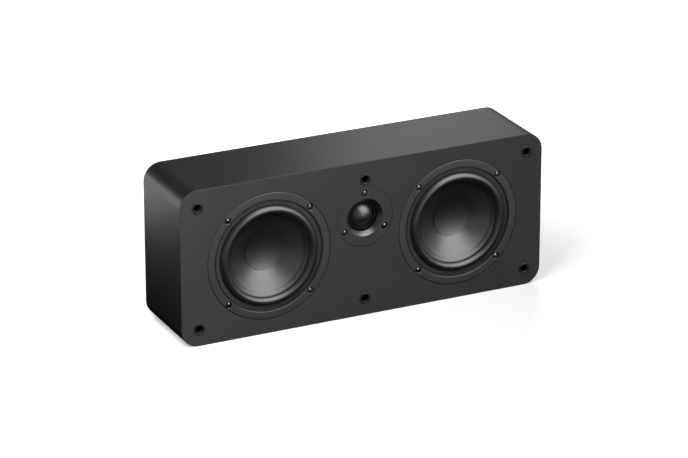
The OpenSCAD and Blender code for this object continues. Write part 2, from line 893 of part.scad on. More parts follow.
// Fibre strip under the ledge, with two push-on tabs
module woofer_terminals(s) {
    driver(s * woofer_x, mid_z) {
        color(fibreboard)
            translate([-strip_w / 2, strip_in, strip_d])
                cube([strip_w, strip_out - strip_in, strip_t]);
        color(brass)
            for (x = [-1, 1])
                translate([x * tab_x - tab_w / 2, tab_at - tab_t / 2, strip_d + strip_t])
                    cube([tab_w, tab_t, tab_len]);
    }
}

// Braided leads from the strip to the back of the cone, beside one spoke
module woofer_leads(s) {
    end_r = neck_r + 6.4;
    seat_gap = 0.2;
    route = [
        [tab_at - 1.5, strip_d - lead_r - hole_gap], [tab_at, ledge_d - lead_sag / 2],
        [ledge_r + 2, ledge_d - lead_sag], [ledge_r - 8, ledge_d - lead_sag],
        [end_r + lead_sag, ledge_d - lead_sag - 0.6], [end_r, cone_d(end_r) + cone_t + lead_r + seat_gap]
    ];
    color(copper)
        driver(s * woofer_x, mid_z)
            for (a = [-13, 13])
                rotate([0, 0, 90 + a])
                    tube(curve([for (p = route) [p[0], 0, p[1]]], 3), lead_r);
}

module tweeter_faceplate() {
    color(satin_black)
        driver(0, tweeter_z)
            difference() {
                turned([
                    [mouth_r + 0.5, 0], [face_r, 0], [face_r, face_t], [tweeter_neck_r, face_t],
                    [tweeter_neck_r, face_depth], [tweeter_lip_r + 0.3, face_depth],
                    [tweeter_lip_r + 0.3, face_depth - dome_t - 2 * glue_line],
                    [throat_r, face_depth - dome_t - 2 * glue_line], [throat_r, throat_d],
                    [mouth_r - 0.25, 0.2], [mouth_r, 0.05]
                ]);
                tweeter_screw_places() {
                    hole(shank_r + 0.4, -over, face_t + over);
                    hole(counterbore_r, -over, counterbore_d);
                }
            }
}

module tweeter_surround() {
    lip_top = face_depth - dome_t - glue_line;
    color(rubber)
        driver(0, tweeter_z)
            rotate_extrude($fn = fine) {
                difference() {
                    translate([tweeter_roll_mid, dome_edge_d])
                        circle(tweeter_roll_section, $fn = 48);
                    translate([tweeter_roll_mid, dome_edge_d])
                        circle(tweeter_roll_section - dome_t, $fn = 48);
                    translate([tweeter_roll_in - over, dome_edge_d])
                        square([throat_r, throat_r]);
                }
                translate([tweeter_roll_out - dome_t, dome_edge_d])
                    square([dome_t, lip_top + dome_t - dome_edge_d]);
                translate([tweeter_roll_out - dome_t, lip_top])
                    square([tweeter_lip_r - tweeter_roll_out + dome_t, dome_t]);
            }
}

module tweeter_dome() {
    bend = (dome_r * dome_r + dome_h * dome_h) / (2 * dome_h);
    color(satin_black)
        driver(0, tweeter_z)
            rotate_extrude($fn = fine)
                intersection() {
                    translate([0, dome_edge_d - dome_h + bend])
                        difference() {
                            circle(bend, $fn = 360);
                            circle(bend - dome_t, $fn = 360);
                        }
                    translate([0, dome_edge_d - dome_h - over])
                        square([dome_r, dome_h + over]);
                }
}

module tweeter_voice_coil() {
    out_r = tweeter_former_r + tweeter_former_t;
    driver(0, tweeter_z) {
        color(steel)
            ring(out_r, tweeter_former_r, dome_edge_d + glue_line, face_depth + tweeter_plate_t + 0.6);
        color(copper)
            ring(out_r + tweeter_winding_t, out_r, face_depth + 0.4, face_depth + tweeter_plate_t - 0.2);
    }
}

module tweeter_top_plate() {
    color(steel)
        driver(0, tweeter_z)
            ring(tweeter_motor_r, tweeter_gap_r, face_depth, tweeter_magnet_d);
}

module tweeter_magnet() {
    color(ferrite)
        driver(0, tweeter_z)
            ring(tweeter_motor_r, tweeter_gap_r + 1.2, tweeter_magnet_d, tweeter_back_d);
}

module tweeter_back_plate() {
    bore_r = 5;
    color(steel)
        driver(0, tweeter_z)
            turned([
                [bore_r, face_depth], [tweeter_pole_r, face_depth], [tweeter_pole_r, tweeter_back_d],
                [tweeter_motor_r, tweeter_back_d], [tweeter_motor_r, tweeter_end_d], [bore_r, tweeter_end_d]
            ]);
}

module tweeter_rear_cup() {
    skin = 1.6;
    bevel = 2;
    end_d = tweeter_end_d + rear_cup_h;
    color(satin_black)
        driver(0, tweeter_z)
            turned([
                [rear_cup_r - skin, tweeter_end_d], [rear_cup_r, tweeter_end_d],
                [rear_cup_r, end_d - bevel], [rear_cup_r - bevel, end_d],
                [0, end_d], [0, end_d - skin],
                [rear_cup_r - bevel - skin / 2, end_d - skin], [rear_cup_r - skin, end_d - bevel - skin / 2]
            ]);
}

module tweeter_terminals() {
    block_w = 12;
    block_t = 4.5;
    driver(0, tweeter_z) {
        color(fibreboard)
            translate([-block_w / 2, tweeter_block_at - block_t / 2, tweeter_end_d])
                cube([block_w, block_t, block_h]);
        color(brass)
            for (x = [-1, 1])
                translate([x * tweeter_tab_x, tweeter_block_at, tweeter_end_d + block_h + tweeter_tab_len / 2])
                    cube([tweeter_tab_w, tab_t, tweeter_tab_len], center = true);
    }
}

// Dome-headed screw with a cross recess, its seat at local z 0 and its shank along +z
module dome_screw() {
    bend = (head_r * head_r + head_h * head_h) / (2 * head_h);
    slot_w = 0.9;
    slot_len = 4;
    slot_d = 1.3;
    tip = 2;
    difference() {
        union() {
            rotate_extrude($fn = 48)
                intersection() {
                    translate([0, bend - head_h])
                        circle(bend, $fn = 72);
                    translate([0, -head_h])
                        square([head_r, head_h]);
                }
            cylinder(r = shank_r, h = screw_len - tip, $fn = 32);
            translate([0, 0, screw_len - tip])
                cylinder(r1 = shank_r, r2 = shank_r / 5, h = tip, $fn = 32);
        }
        for (a = [0, 90])
            rotate([0, 0, a])
                translate([-slot_len / 2, -slot_w / 2, -head_h - over])
                    cube([slot_len, slot_w, slot_d + over]);
    }
}

// Countersunk screw with its flat head at local z 0 and its shank along -z
module flat_screw() {
    slot_w = 0.7;
    slot_len = 3;
    slot_d = 0.9;
    tip = 2;
    difference() {
        union() {
            translate([0, 0, -small_head_h])
                cylinder(r1 = small_shank_r, r2 = small_head_r, h = small_head_h, $fn = 32);
            translate([0, 0, tip - small_len])
                cylinder(r = small_shank_r, h = small_len - tip - small_head_h / 2, $fn = 32);
            translate([0, 0, -small_len])
                cylinder(r1 = small_shank_r / 5, r2 = small_shank_r, h = tip, $fn = 32);
        }
        for (a = [0, 90])
            rotate([0, 0, a])
                translate([-slot_len / 2, -slot_w / 2, -slot_d])
                    cube([slot_len, slot_w, slot_d + over]);
    }
}

module flat_screw_seat() {
    translate([0, 0, -small_head_h])
        cylinder(r1 = small_shank_r + hole_gap, r2 = small_head_r + hole_gap, h = small_head_h, $fn = 32);
    hole(small_head_r + hole_gap, 0, over);
    hole(small_shank_r + hole_gap, -small_len, 0);
}

module woofer_screws() {
    color([0.05, 0.05, 0.05])
        for (s = [-1, 1])
            driver(s * woofer_x, mid_z)
                woofer_screw_places()
                    translate([0, 0, counterbore_d])
                        dome_screw();
}

module tweeter_screws() {
    color([0.05, 0.05, 0.05])
        driver(0, tweeter_z)
            tweeter_screw_places()
                translate([0, 0, counterbore_d])
                    dome_screw();
}

module terminal_cup() {
    color(satin_black)
        difference() {
            rear(0, cup_z)
                difference() {
                    union() {
                        translate([0, 0, -cup_flange_t])
                            linear_extrude(cup_flange_t)
                                rounded_rect(cup_w + 2 * cup_flange, cup_h + 2 * cup_flange, cup_corner);
                        translate([0, 0, -cup_floor])
                            linear_extrude(cup_floor - over)
                                rounded_rect(cup_w + 2 * cup_wall, cup_h + 2 * cup_wall, cup_corner);
                    }
                    translate([0, 0, -cup_depth])
                        linear_extrude(cup_depth + over)
                            rounded_rect(cup_w, cup_h, cup_corner - cup_wall);
                    for (x = [-1, 1])
                        translate([x * post_x, 0, 0])
                            hole(post_r + hole_gap, -cup_floor - over, 0);
                }
            cup_screw_places()
                flat_screw_seat();
        }
}

module cup_screws() {
    color(steel)
        cup_screw_places()
            flat_screw();
}

// Post with a hole for a plug in its end and a cross hole for bare wire
module binding_post(s) {
    color(brass)
        rear(s * post_x, cup_z)
            difference() {
                union() {
                    translate([0, 0, -cup_floor - post_in])
                        cylinder(r = post_r, h = post_in + cup_wall + post_out, $fn = 48);
                    translate([0, 0, -cup_depth])
                        cylinder(r = collar_r, h = collar_t, $fn = 48);
                }
                hole(plug_r, post_out - cup_depth - plug_len, post_out - cup_depth + over);
                translate([0, 0, collar_t + wire_hole_r + nut_rest - cup_depth])
                    rotate([90, 0, 0])
                        translate([0, 0, -post_r - over])
                            cylinder(r = wire_hole_r, h = 2 * (post_r + over), $fn = 32);
            }
}

module thumb_nut(s, colour) {
    flutes = 16;
    flute_r = 0.8;
    neck = 1.5;
    bevel = 1;
    base = collar_t + nut_rest - cup_depth;
    color(colour)
        rear(s * post_x, cup_z)
            difference() {
                union() {
                    translate([0, 0, base])
                        cylinder(r = nut_r - flute_r, h = neck, $fn = 48);
                    translate([0, 0, base + neck])
                        cylinder(r = nut_r, h = nut_h - neck - bevel, $fn = 48);
                    translate([0, 0, base + nut_h - bevel])
                        cylinder(r1 = nut_r, r2 = nut_r - bevel, h = bevel, $fn = 48);
                }
                hole(post_r + slide_gap, base - over, base + nut_h + over);
                for (i = [0 : flutes - 1])
                    rotate([0, 0, i * 360 / flutes])
                        translate([nut_r + flute_r / 2, 0, base - over])
                            cylinder(r = flute_r, h = nut_h + 2 * over, $fn = 16);
            }
}

module lock_nuts() {
    color(steel)
        for (s = [-1, 1])
            rear(s * post_x, cup_z)
                difference() {
                    translate([0, 0, -cup_floor - lock_t])
                        cylinder(r = post_r + lock_w, h = lock_t, $fn = 6);
                    hole(post_r + hole_gap, -cup_floor - lock_t - over, -cup_floor + over);
                }
}

module hangers() {
    color(steel)
        difference() {
            for (x = [-1, 1])
                rear(x * hanger_x, hanger_z)
                    translate([0, 0, -hanger_t])
                        linear_extrude(hanger_t)
                            difference() {
                                rounded_rect(hanger_w, hanger_h, hanger_corner);
                                key_outline(0);
                            }
            hanger_screw_places()
                flat_screw_seat();
        }
}

module hanger_screws() {
    color(steel)
        hanger_screw_places()
            flat_screw();
}

module board_corners() {
    for (x = [-1, 1], z = [-1, 1])
        translate([x * board_hole_x, z * board_hole_z, 0])
            children();
}

// Local z runs from the front of the board towards the baffle, and local y runs up
module on_board() {
    translate([0, board_y, board_z])
        rotate([90, 0, 0])
            children();
}

module crossover_board() {
    color([0.1, 0.3, 0.16])
        on_board()
            difference() {
                translate([0, 0, -board_t])
                    linear_extrude(board_t)
                        rounded_rect(board_w, board_h, board_corner);
                board_corners()
                    hole(small_shank_r + hole_gap, -board_t - over, over);
            }
}

module inductors() {
    color(copper)
        on_board() {
            translate([flat_coil_at[0], flat_coil_at[1], 0])
                ring(coil_r, coil_r / 2, 0, coil_h);
            translate([tall_coil_at[0], tall_coil_at[1], tall_coil_r])
                rotate([0, 90, 0])
                    ring(tall_coil_r, tall_coil_r / 2, -coil_h / 2, coil_h / 2);
        }
}

module capacitors() {
    color([0.75, 0.6, 0.25])
        on_board()
            for (at = capacitor_at)
                translate([at[0] - capacitor_len / 2, at[1], capacitor_r])
                    rotate([0, 90, 0])
                        cylinder(r = capacitor_r, h = capacitor_len, $fn = 48);
}

module resistors() {
    color([0.85, 0.85, 0.82])
        on_board()
            for (at = resistor_at)
                translate([at[0] - resistor_len / 2, at[1] - resistor_w / 2, 0])
                    cube([resistor_len, resistor_w, resistor_w]);
}

// Spacers behind the board and the screws through them
module board_fixings() {
    bore_r = small_shank_r + hole_gap;
    spacer_wall = 1.5;
    screw_head_h = 1.8;
    on_board()
        board_corners() {
            color(cotton)
                ring(bore_r + spacer_wall, bore_r, -board_t - spacer_h, -board_t);
            color(steel) {
                cylinder(r1 = small_head_r, r2 = small_head_r * 0.7, h = screw_head_h, $fn = 32);
                translate([0, 0, -board_t - spacer_h])
                    cylinder(r = small_shank_r, h = board_t + spacer_h + over / 10, $fn = 32);
            }
        }
}

module wiring() {
    start_y = board_y - wire_r / 4;
    clear_y = board_y - 2 * tall_coil_r - 5 * wire_r;
    cup_in_y = rear_y - cup_floor - post_in;
    tweeter_tab_y = front_y + tweeter_end_d + block_h + tweeter_tab_len;
    woofer_tab_y = front_y + tab_end_d;
    woofer_tab_z = mid_z - tab_at;
    half_bend = wire_bend / 2;
    for (s = [-1, 1]) {
        x = pad_x + s * pair_pitch / 2;
        tweeter_tab = s * tweeter_tab_x;
        tweeter_tab_z = tweeter_z - tweeter_block_at;
        color(s > 0 ? "firebrick" : "dimgray") {
            tube(curve([
                [s * post_x, cup_in_y - wire_seat, cup_z], [s * post_x, cup_in_y - half_bend, cup_z],
                [s * post_x, cup_in_y - half_bend - wire_r, cup_z + post_in + half_bend],
                [x, cup_in_y, pad_low - 2 * pad_pitch], [x, start_y - wire_bend, pad_low], [x, start_y, pad_low]
            ], 4), wire_r);
            tube(curve([
                [tweeter_tab, tweeter_tab_y + wire_seat, tweeter_tab_z],
                [tweeter_tab, tweeter_tab_y + half_bend + wire_r, tweeter_tab_z],
                [x, start_y - wire_bend - pad_pitch, pad_low + pad_pitch], [x, start_y, pad_low + pad_pitch]
            ], 4), wire_r);
            for (side = [-1, 1]) {
                pad_z = pad_low + pad_pitch * (side < 0 ? 2 : 3);
                tab = side * woofer_x + s * tab_x;
                lead = s * side < 0 ? -3 * wire_r : 0;
                tube(curve([
                    [x, start_y, pad_z], [x, start_y - wire_bend, pad_z],
                    [x, clear_y + lead, pad_z - 2 * wire_r],
                    [side * (brace_x - 1.5 * brace_t), clear_y - 2 * wire_r + lead, mid_z + brace_t],
                    [side * (brace_x + brace_t), clear_y - 2 * wire_r + lead, mid_z - wire_r],
                    [side * (woofer_x - magnet_r - 6), clear_y - wire_r + lead, mid_z - 0.75 * magnet_r],
                    [side * (woofer_x - 0.6 * magnet_r), clear_y + lead, woofer_tab_z - half_bend],
                    [tab, woofer_tab_y + half_bend + 2 * wire_r, woofer_tab_z],
                    [tab, woofer_tab_y + wire_seat, woofer_tab_z]
                ], 4), wire_r);
            }
        }
    }
}

cabinet_wrap();
front_baffle();
rear_panel();
brace(-1);  // brace_left
brace(1);  // brace_right
wadding(-1);  // wadding_left
wadding(1);  // wadding_right
grille_sockets();
woofer_basket(-1);  // woofer_left_basket
woofer_seal(-1);  // woofer_left_seal
woofer_gasket(-1);  // woofer_left_gasket
woofer_surround(-1);  // woofer_left_surround
woofer_cone(-1);  // woofer_left_cone
woofer_dust_cap(-1);  // woofer_left_dust_cap
woofer_voice_coil(-1);  // woofer_left_voice_coil
woofer_spider(-1);  // woofer_left_spider
woofer_top_plate(-1);  // woofer_left_top_plate
woofer_magnet(-1);  // woofer_left_magnet
woofer_back_plate(-1);  // woofer_left_back_plate
woofer_terminals(-1);  // woofer_left_terminals
woofer_leads(-1);  // woofer_left_leads
woofer_basket(1);  // woofer_right_basket
woofer_seal(1);  // woofer_right_seal
woofer_gasket(1);  // woofer_right_gasket
woofer_surround(1);  // woofer_right_surround
woofer_cone(1);  // woofer_right_cone
woofer_dust_cap(1);  // woofer_right_dust_cap
woofer_voice_coil(1);  // woofer_right_voice_coil
woofer_spider(1);  // woofer_right_spider
woofer_top_plate(1);  // woofer_right_top_plate
woofer_magnet(1);  // woofer_right_magnet
woofer_back_plate(1);  // woofer_right_back_plate
woofer_terminals(1);  // woofer_right_terminals
woofer_leads(1);  // woofer_right_leads
tweeter_faceplate();
tweeter_surround();
tweeter_dome();
tweeter_voice_coil();
tweeter_top_plate();
tweeter_magnet();
tweeter_back_plate();
tweeter_rear_cup();
tweeter_terminals();
woofer_screws();
tweeter_screws();
terminal_cup();
cup_screws();
binding_post(1);  // binding_post_red
binding_post(-1);  // binding_post_black
thumb_nut(1, "firebrick");  // thumb_nut_red
thumb_nut(-1, [0.1, 0.1, 0.1]);  // thumb_nut_black
lock_nuts();
hangers();
hanger_screws();
crossover_board();
inductors();
capacitors();
resistors();
board_fixings();
wiring();
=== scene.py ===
import math
import bmesh
import bpy
import numpy as np
from mathutils import Matrix, Vector


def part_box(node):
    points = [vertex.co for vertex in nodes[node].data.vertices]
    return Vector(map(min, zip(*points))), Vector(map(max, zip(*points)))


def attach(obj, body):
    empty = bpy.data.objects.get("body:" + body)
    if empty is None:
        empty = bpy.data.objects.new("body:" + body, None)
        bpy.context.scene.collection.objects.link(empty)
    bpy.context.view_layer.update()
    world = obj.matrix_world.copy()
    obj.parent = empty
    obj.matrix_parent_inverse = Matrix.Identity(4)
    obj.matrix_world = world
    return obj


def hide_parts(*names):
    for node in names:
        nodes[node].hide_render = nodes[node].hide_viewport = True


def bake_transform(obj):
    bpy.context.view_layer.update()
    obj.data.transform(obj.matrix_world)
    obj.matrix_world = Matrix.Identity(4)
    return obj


# Wall speaker lying on its long side: finishes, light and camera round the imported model
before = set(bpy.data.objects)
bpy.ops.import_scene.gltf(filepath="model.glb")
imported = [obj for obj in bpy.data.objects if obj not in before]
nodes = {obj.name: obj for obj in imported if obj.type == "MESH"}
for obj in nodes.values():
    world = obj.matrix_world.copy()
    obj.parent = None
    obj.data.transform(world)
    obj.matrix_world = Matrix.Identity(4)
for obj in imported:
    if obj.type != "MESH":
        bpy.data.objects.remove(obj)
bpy.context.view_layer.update()        # metres, X to the right, Y into the depth, Z up
frontLow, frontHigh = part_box("front_baffle")
frontY, midZ = frontLow.y, (frontLow.z + frontHigh.z) / 2
sides = {"left": -1, "right": 1}
print("frame loaded,", len(nodes), "nodes")


def hexColour(code):
    # sRGB hex to the linear colour that shaders take
    srgb = np.array([int(code[i:i + 2], 16) for i in (0, 2, 4)]) / 255
    linear = np.where(srgb <= 0.04045, srgb / 12.92, ((srgb + 0.055) / 1.055) ** 2.4)
    return (*linear.tolist(), 1.0)


def addNode(tree, kind, settings=None, sockets=None):
    # one shader node; a socket takes a plain value or the output of another node
    node = tree.nodes.new("ShaderNode" + kind)
    for key, value in (settings or {}).items():
        setattr(node, key, value)
    for key, value in (sockets or {}).items():
        if isinstance(value, bpy.types.NodeSocket):
            tree.links.new(value, node.inputs[key])
        else:
            node.inputs[key].default_value = value
    return node


def startMaterial(name, metallic=0.0, ior=1.5, level=0.5):
    # level is the strength of the gloss seen square on; 0.5 is what the IOR gives
    material = bpy.data.materials.new(name)
    material.use_nodes = True
    tree = material.node_tree
    tree.nodes.clear()
    shader = addNode(tree, "BsdfPrincipled", sockets={"Metallic": metallic, "IOR": ior, "Specular IOR Level": level})
    addNode(tree, "OutputMaterial", sockets={"Surface": shader.outputs[0]})
    return material, tree, shader


def applyPattern(tree, shader, pattern, span, tones, rough, height, depthMm, extra):
    # between the two values of span the pattern goes from one tone and one roughness to the other;
    # the height raises the surface
    ramp = addNode(tree, "ValToRGB", sockets={0: pattern})
    for element, position, code in zip(ramp.color_ramp.elements, span, tones):
        element.position, element.color = position, hexColour(code)
    polish = addNode(tree, "MapRange", sockets={"Value": pattern, "From Min": span[0], "From Max": span[1],
                                                "To Min": rough[0], "To Max": rough[1]})
    bump = addNode(tree, "Bump", sockets={"Strength": 1.0, "Distance": depthMm / 1000, "Height": height})
    for key, node in (("Base Color", ramp), ("Roughness", polish), ("Normal", bump)):
        tree.links.new(node.outputs[0], shader.inputs[key])
    for key, value in (extra or {}).items():
        shader.inputs[key].default_value = value


def grained(name, tones, rough, grainMm, depthMm, stretch=(1, 1, 1), extra=None, **gloss):
    # fine grain with faint blotches: it shifts the colour, the roughness and the height
    material, tree, shader = startMaterial(name, **gloss)
    place = addNode(tree, "TexCoord").outputs["Object"]
    along = addNode(tree, "Mapping", sockets={"Vector": place, "Scale": stretch}).outputs[0]
    grain = addNode(tree, "TexNoise", sockets={"Vector": along, "Scale": 1000 / grainMm,
                                               "Detail": 3.0, "Roughness": 0.6}).outputs[0]
    cloud = addNode(tree, "TexNoise", sockets={"Vector": place, "Scale": 22.0, "Detail": 2.0}).outputs[0]   # 45 mm wide
    faint = addNode(tree, "Math", {"operation": "MULTIPLY"}, {0: cloud, 1: 0.3}).outputs[0]
    mixed = addNode(tree, "Math", {"operation": "MULTIPLY_ADD"}, {0: grain, 1: 0.7, 2: faint}).outputs[0]
    applyPattern(tree, shader, mixed, (0.3, 0.7), tones, rough, grain, depthMm, extra)
    return material


def woven(name, tones, rough, threadMm, depthMm, extra=None, **gloss):
    # plain weave: two sets of threads cross, each a sine ridge, and the higher one lies on top
    material, tree, shader = startMaterial(name, **gloss)
    place = addNode(tree, "TexCoord").outputs["Object"]
    split = addNode(tree, "SeparateXYZ", sockets={0: place})
    ridges = []
    for way in ("X", "Z"):
        turns = addNode(tree, "Math", {"operation": "MULTIPLY"}, {0: split.outputs[way], 1: 1000 * math.pi / threadMm})
        ridges.append(addNode(tree, "Math", {"operation": "SINE"}, {0: turns.outputs[0]}).outputs[0])
    over = addNode(tree, "Math", {"operation": "MULTIPLY"}, {0: ridges[0], 1: ridges[1]}).outputs[0]
    height = addNode(tree, "MapRange", sockets={"Value": over, "From Min": -1.0, "From Max": 1.0}).outputs[0]
    fuzz = addNode(tree, "TexNoise", sockets={"Vector": place, "Scale": 1000 / threadMm, "Detail": 2.0}).outputs[0]
    faint = addNode(tree, "Math", {"operation": "MULTIPLY"}, {0: fuzz, 1: 0.4}).outputs[0]
    mixed = addNode(tree, "Math", {"operation": "MULTIPLY_ADD"}, {0: height, 1: 0.6, 2: faint}).outputs[0]
    applyPattern(tree, shader, mixed, (0.0, 1.0), tones, rough[::-1], mixed, depthMm, extra)     # low threads are dull
    return material


# Finishes: two tones, two roughnesses, then the size and the depth of the grain or the thread in millimetres
# PVC film wrapped round board, with a brushed print: long faint streaks that catch the light
wrapVinyl = grained("brushedVinyl", ("08080a", "101012"), (0.38, 0.45), 0.9, 0.02, stretch=(0.02, 1, 1))
# matt lacquer sprayed on board: even charcoal with a very fine orange peel
baffleLacquer = grained("mattLacquer", ("2f2f30", "39393a"), (0.5, 0.58), 0.8, 0.012, level=0.15)
# textured vinyl on the rear board, duller than the wrap
rearVinyl = grained("rearVinyl", ("151516", "1f1f20"), (0.55, 0.65), 0.7, 0.05)
# raw fibreboard, sawn: brown felted fibres
fibreboard = grained("rawFibreboard", ("8a6a4a", "b08d66"), (0.8, 0.95), 0.6, 0.06)
# polyester wadding, needled: loose white fibres
waddingFibre = grained("polyesterWadding", ("c9c8c2", "f0efea"), (0.9, 1.0), 1.4, 0.5,
                       extra={"Sheen Weight": 0.4, "Sheen Roughness": 0.5})
# moulded rubber: deep black with a soft sheen
socketRubber = grained("socketRubber", ("0e0e0e", "161616"), (0.42, 0.52), 0.4, 0.01, level=0.3)
# ABS moulding with a fine spark-eroded skin
faceplateAbs = grained("faceplateAbs", ("2f2f30", "39393a"), (0.46, 0.54), 0.35, 0.012, level=0.17)
# the same ABS polished in the mouth of the horn, its tone darkened to deep black as painted shade on the walls of the
# horn; the polish mirrors the lights softly
shadedHornAbs = grained("polishedAbsPaintedShade", ("070707", "0c0c0c"), (0.34, 0.4), 0.5, 0.004, ior=1.57, level=1.0)
# coated silk dome: fine weave under a soft gloss
domeSilk = woven("coatedSilk", ("0a0a0a", "131314"), (0.34, 0.44), 0.35, 0.012, level=0.95)
# the roll round the dome is left uncoated: matt black cloth
rollCloth = woven("treatedCloth", ("050505", "0c0c0c"), (0.65, 0.8), 0.35, 0.012, level=0.12)
# enamelled copper wire: warm metal under clear varnish
copperWire = grained("enamelledCopper", ("8f4a22", "c97a45"), (0.22, 0.32), 0.4, 0.01, metallic=1.0)
# zinc plate on steel: soft spangle and a cool grey
zincSteel = grained("zincPlatedSteel", ("8f9296", "b9bcc0"), (0.28, 0.42), 1.2, 0.008, metallic=1.0)
# tinned copper strands, braided: dull straw-coloured metal
copperBraid = grained("tinnedBraid", ("8a7a68", "c9b79f"), (0.3, 0.45), 0.25, 0.02, metallic=1.0)
# rolled aluminium foil under the windings: bright and almost plain
aluminiumFoil = grained("aluminiumFoil", ("b4b6b8", "d2d3d5"), (0.25, 0.38), 0.6, 0.004, metallic=1.0)
# pressed fibre of the terminal strips: reddish brown, laminated
pressedFibre = grained("pressedFibre", ("6e4a30", "8a6142"), (0.55, 0.7), 0.5, 0.02)
# moulded nylon spacers: milky white, and light enters a little
mouldedNylon = grained("mouldedNylon", ("d9d4c4", "ebe7da"), (0.4, 0.5), 0.6, 0.005, extra={"Subsurface Weight": 0.1})
# sintered ferrite, ground: dark grey with pores
ferrite = grained("sinteredFerrite", ("26272a", "37393d"), (0.5, 0.65), 0.5, 0.03)
# brass sheet, stamped and left bare
brassTab = grained("stampedBrass", ("a98438", "d2b05c"), (0.25, 0.4), 0.8, 0.008, metallic=1.0)
# gilt brass, turned and polished: a sharp warm gloss
giltBrass = grained("giltBrass", ("c79a3c", "e6c069"), (0.12, 0.22), 0.5, 0.004, metallic=1.0)
# black oxide on steel, oiled: glossy black with sharp highlights
blackOxide = grained("blackOxideSteel", ("070707", "0c0c0c"), (0.12, 0.2), 0.4, 0.004, ior=1.7, level=1.0)
# black ABS moulding of the terminal cup, with a coarser skin
cupAbs = grained("terminalAbs", ("131314", "1c1c1d"), (0.4, 0.52), 0.5, 0.025)
# acrylic nuts, dyed through and lacquered clear: deep colour under a bright skin
lacquer = {"Coat Weight": 0.4, "Coat Roughness": 0.08}
redAcrylic = grained("redAcrylic", ("7d0e10", "a3171a"), (0.14, 0.22), 0.8, 0.005, extra=lacquer)
blackAcrylic = grained("blackAcrylic", ("0c0c0d", "151516"), (0.14, 0.22), 0.8, 0.005, extra=lacquer)
# glass-fibre board under green solder mask: the weave shows through
solderMask = woven("solderMask", ("0d4a24", "14642f"), (0.25, 0.35), 0.6, 0.01)
# polyester film wound over the capacitors: glossy amber
filmWrap = grained("capacitorFilm", ("b98a24", "d9ab3b"), (0.2, 0.3), 1.0, 0.01)
# cement block of the resistors, cast: chalky and rough
castCement = grained("castCement", ("cfccc4", "e6e4dd"), (0.75, 0.9), 0.5, 0.04)
# soft PVC sleeves, extruded: satin
redSleeve = grained("redSleeve", ("8a1214", "a81c1e"), (0.35, 0.45), 0.8, 0.01)
greySleeve = grained("greySleeve", ("2b2b2d", "3a3a3c"), (0.35, 0.45), 0.8, 0.01)
# powder coat baked on steel: black with a clear orange peel
powderCoat = grained("powderCoat", ("222223", "2c2c2d"), (0.42, 0.5), 0.7, 0.015, level=0.75)
# closed-cell foam, die cut: dull and pitted
sealFoam = grained("closedCellFoam", ("121212", "1c1c1c"), (0.8, 0.9), 0.5, 0.06)
# ABS trim ring with a satin skin
trimAbs = grained("trimAbs", ("2f2f30", "39393a"), (0.44, 0.52), 0.5, 0.01, level=0.2)
# butyl rubber, pressed: satin black
surroundButyl = grained("butylRubber", ("0c0c0d", "131314"), (0.36, 0.42), 0.5, 0.006, level=0.85)
# filled polypropylene, pressed: satin with a faint flow grain
conePolymer = grained("filledPolypropylene", ("121213", "1b1b1c"), (0.38, 0.44), 0.9, 0.008, level=0.95)
# the same polymer as the cone, pressed smoother
capPolymer = grained("capPolypropylene", ("101011", "171718"), (0.38, 0.44), 0.9, 0.006, level=0.9)
# cotton dipped in resin: stiff, straw-coloured, with a coarse weave
dippedCotton = woven("dippedCotton", ("a58a3f", "d3bb72"), (0.7, 0.85), 0.8, 0.12)

# the three nodes whose CAD shape stays
for nodeName, finish in (("rear_panel", rearVinyl), ("brace_left", fibreboard), ("brace_right", fibreboard)):
    nodes[nodeName].data.materials.clear()
    nodes[nodeName].data.materials.append(finish)
print("finishes made")


def shift(x=0, y=0, z=0):
    # a move in metres
    return Matrix.Translation((x, y, z))


# swaps Y and Z, so that a slab's height runs into the depth
acrossDepth = Matrix(((1, 0, 0, 0), (0, 0, 1, 0), (0, 1, 0, 0), (0, 0, 0, 1)))


def addObject(name, data):
    # puts a mesh, a lamp or a camera in the scene
    item = bpy.data.objects.new(name, data)
    bpy.context.scene.collection.objects.link(item)
    return item


def smoothPiece(name, mesh):
    # smooths all but the edges sharper than 32 degrees
    mesh.polygons.foreach_set("use_smooth", np.ones(len(mesh.polygons), bool))
    mesh.set_sharp_from_angle(angle=math.radians(32))
    return addObject(name, mesh)


def cleanPiece(name, mesh):
    # merges doubles, closes ends and turns faces outwards
    cleaner = bmesh.new()
    cleaner.from_mesh(mesh)
    bmesh.ops.remove_doubles(cleaner, verts=cleaner.verts, dist=1e-7)
    bmesh.ops.delete(cleaner, geom=[edge for edge in cleaner.edges if edge.is_wire], context="EDGES")
    openEdges = [edge for edge in cleaner.edges if edge.is_boundary]
    if openEdges:
        bmesh.ops.holes_fill(cleaner, edges=openEdges, sides=0)
    bmesh.ops.recalc_face_normals(cleaner, faces=cleaner.faces)
    cleaner.to_mesh(mesh)
    cleaner.free()
    return smoothPiece(name, mesh)


def gridPiece(name, points, closeRows=False):
    # a surface of rows of points, each row a closed loop; neighbours make quads, and open ends are closed with a face
    rows, columns = points.shape[:2]
    i = np.arange(rows if closeRows else rows - 1)[:, None]
    j = np.arange(columns)[None, :]
    nextI, nextJ = (i + 1) % rows, (j + 1) % columns
    quads = [i * columns + j, i * columns + nextJ, nextI * columns + nextJ, nextI * columns + j]
    mesh = bpy.data.meshes.new(name)
    mesh.from_pydata(points.reshape(-1, 3), [], np.stack(quads, axis=-1).reshape(-1, 4))
    return cleanPiece(name, mesh)


def gather(name, parts, moves=None):
    # one mesh from several pieces, each moved by its own matrix; the pieces themselves go
    pile = bmesh.new()
    for k, part in enumerate(parts):
        mesh = part.data.copy()
        if moves:
            mesh.transform(moves[k])
            if moves[k].determinant() < 0:      # a mirrored copy is inside out
                mesh.flip_normals()
        pile.from_mesh(mesh)
    mesh = bpy.data.meshes.new(name)
    pile.to_mesh(mesh)
    pile.free()
    for part in set(parts):
        bpy.data.objects.remove(part)
    return smoothPiece(name, mesh)


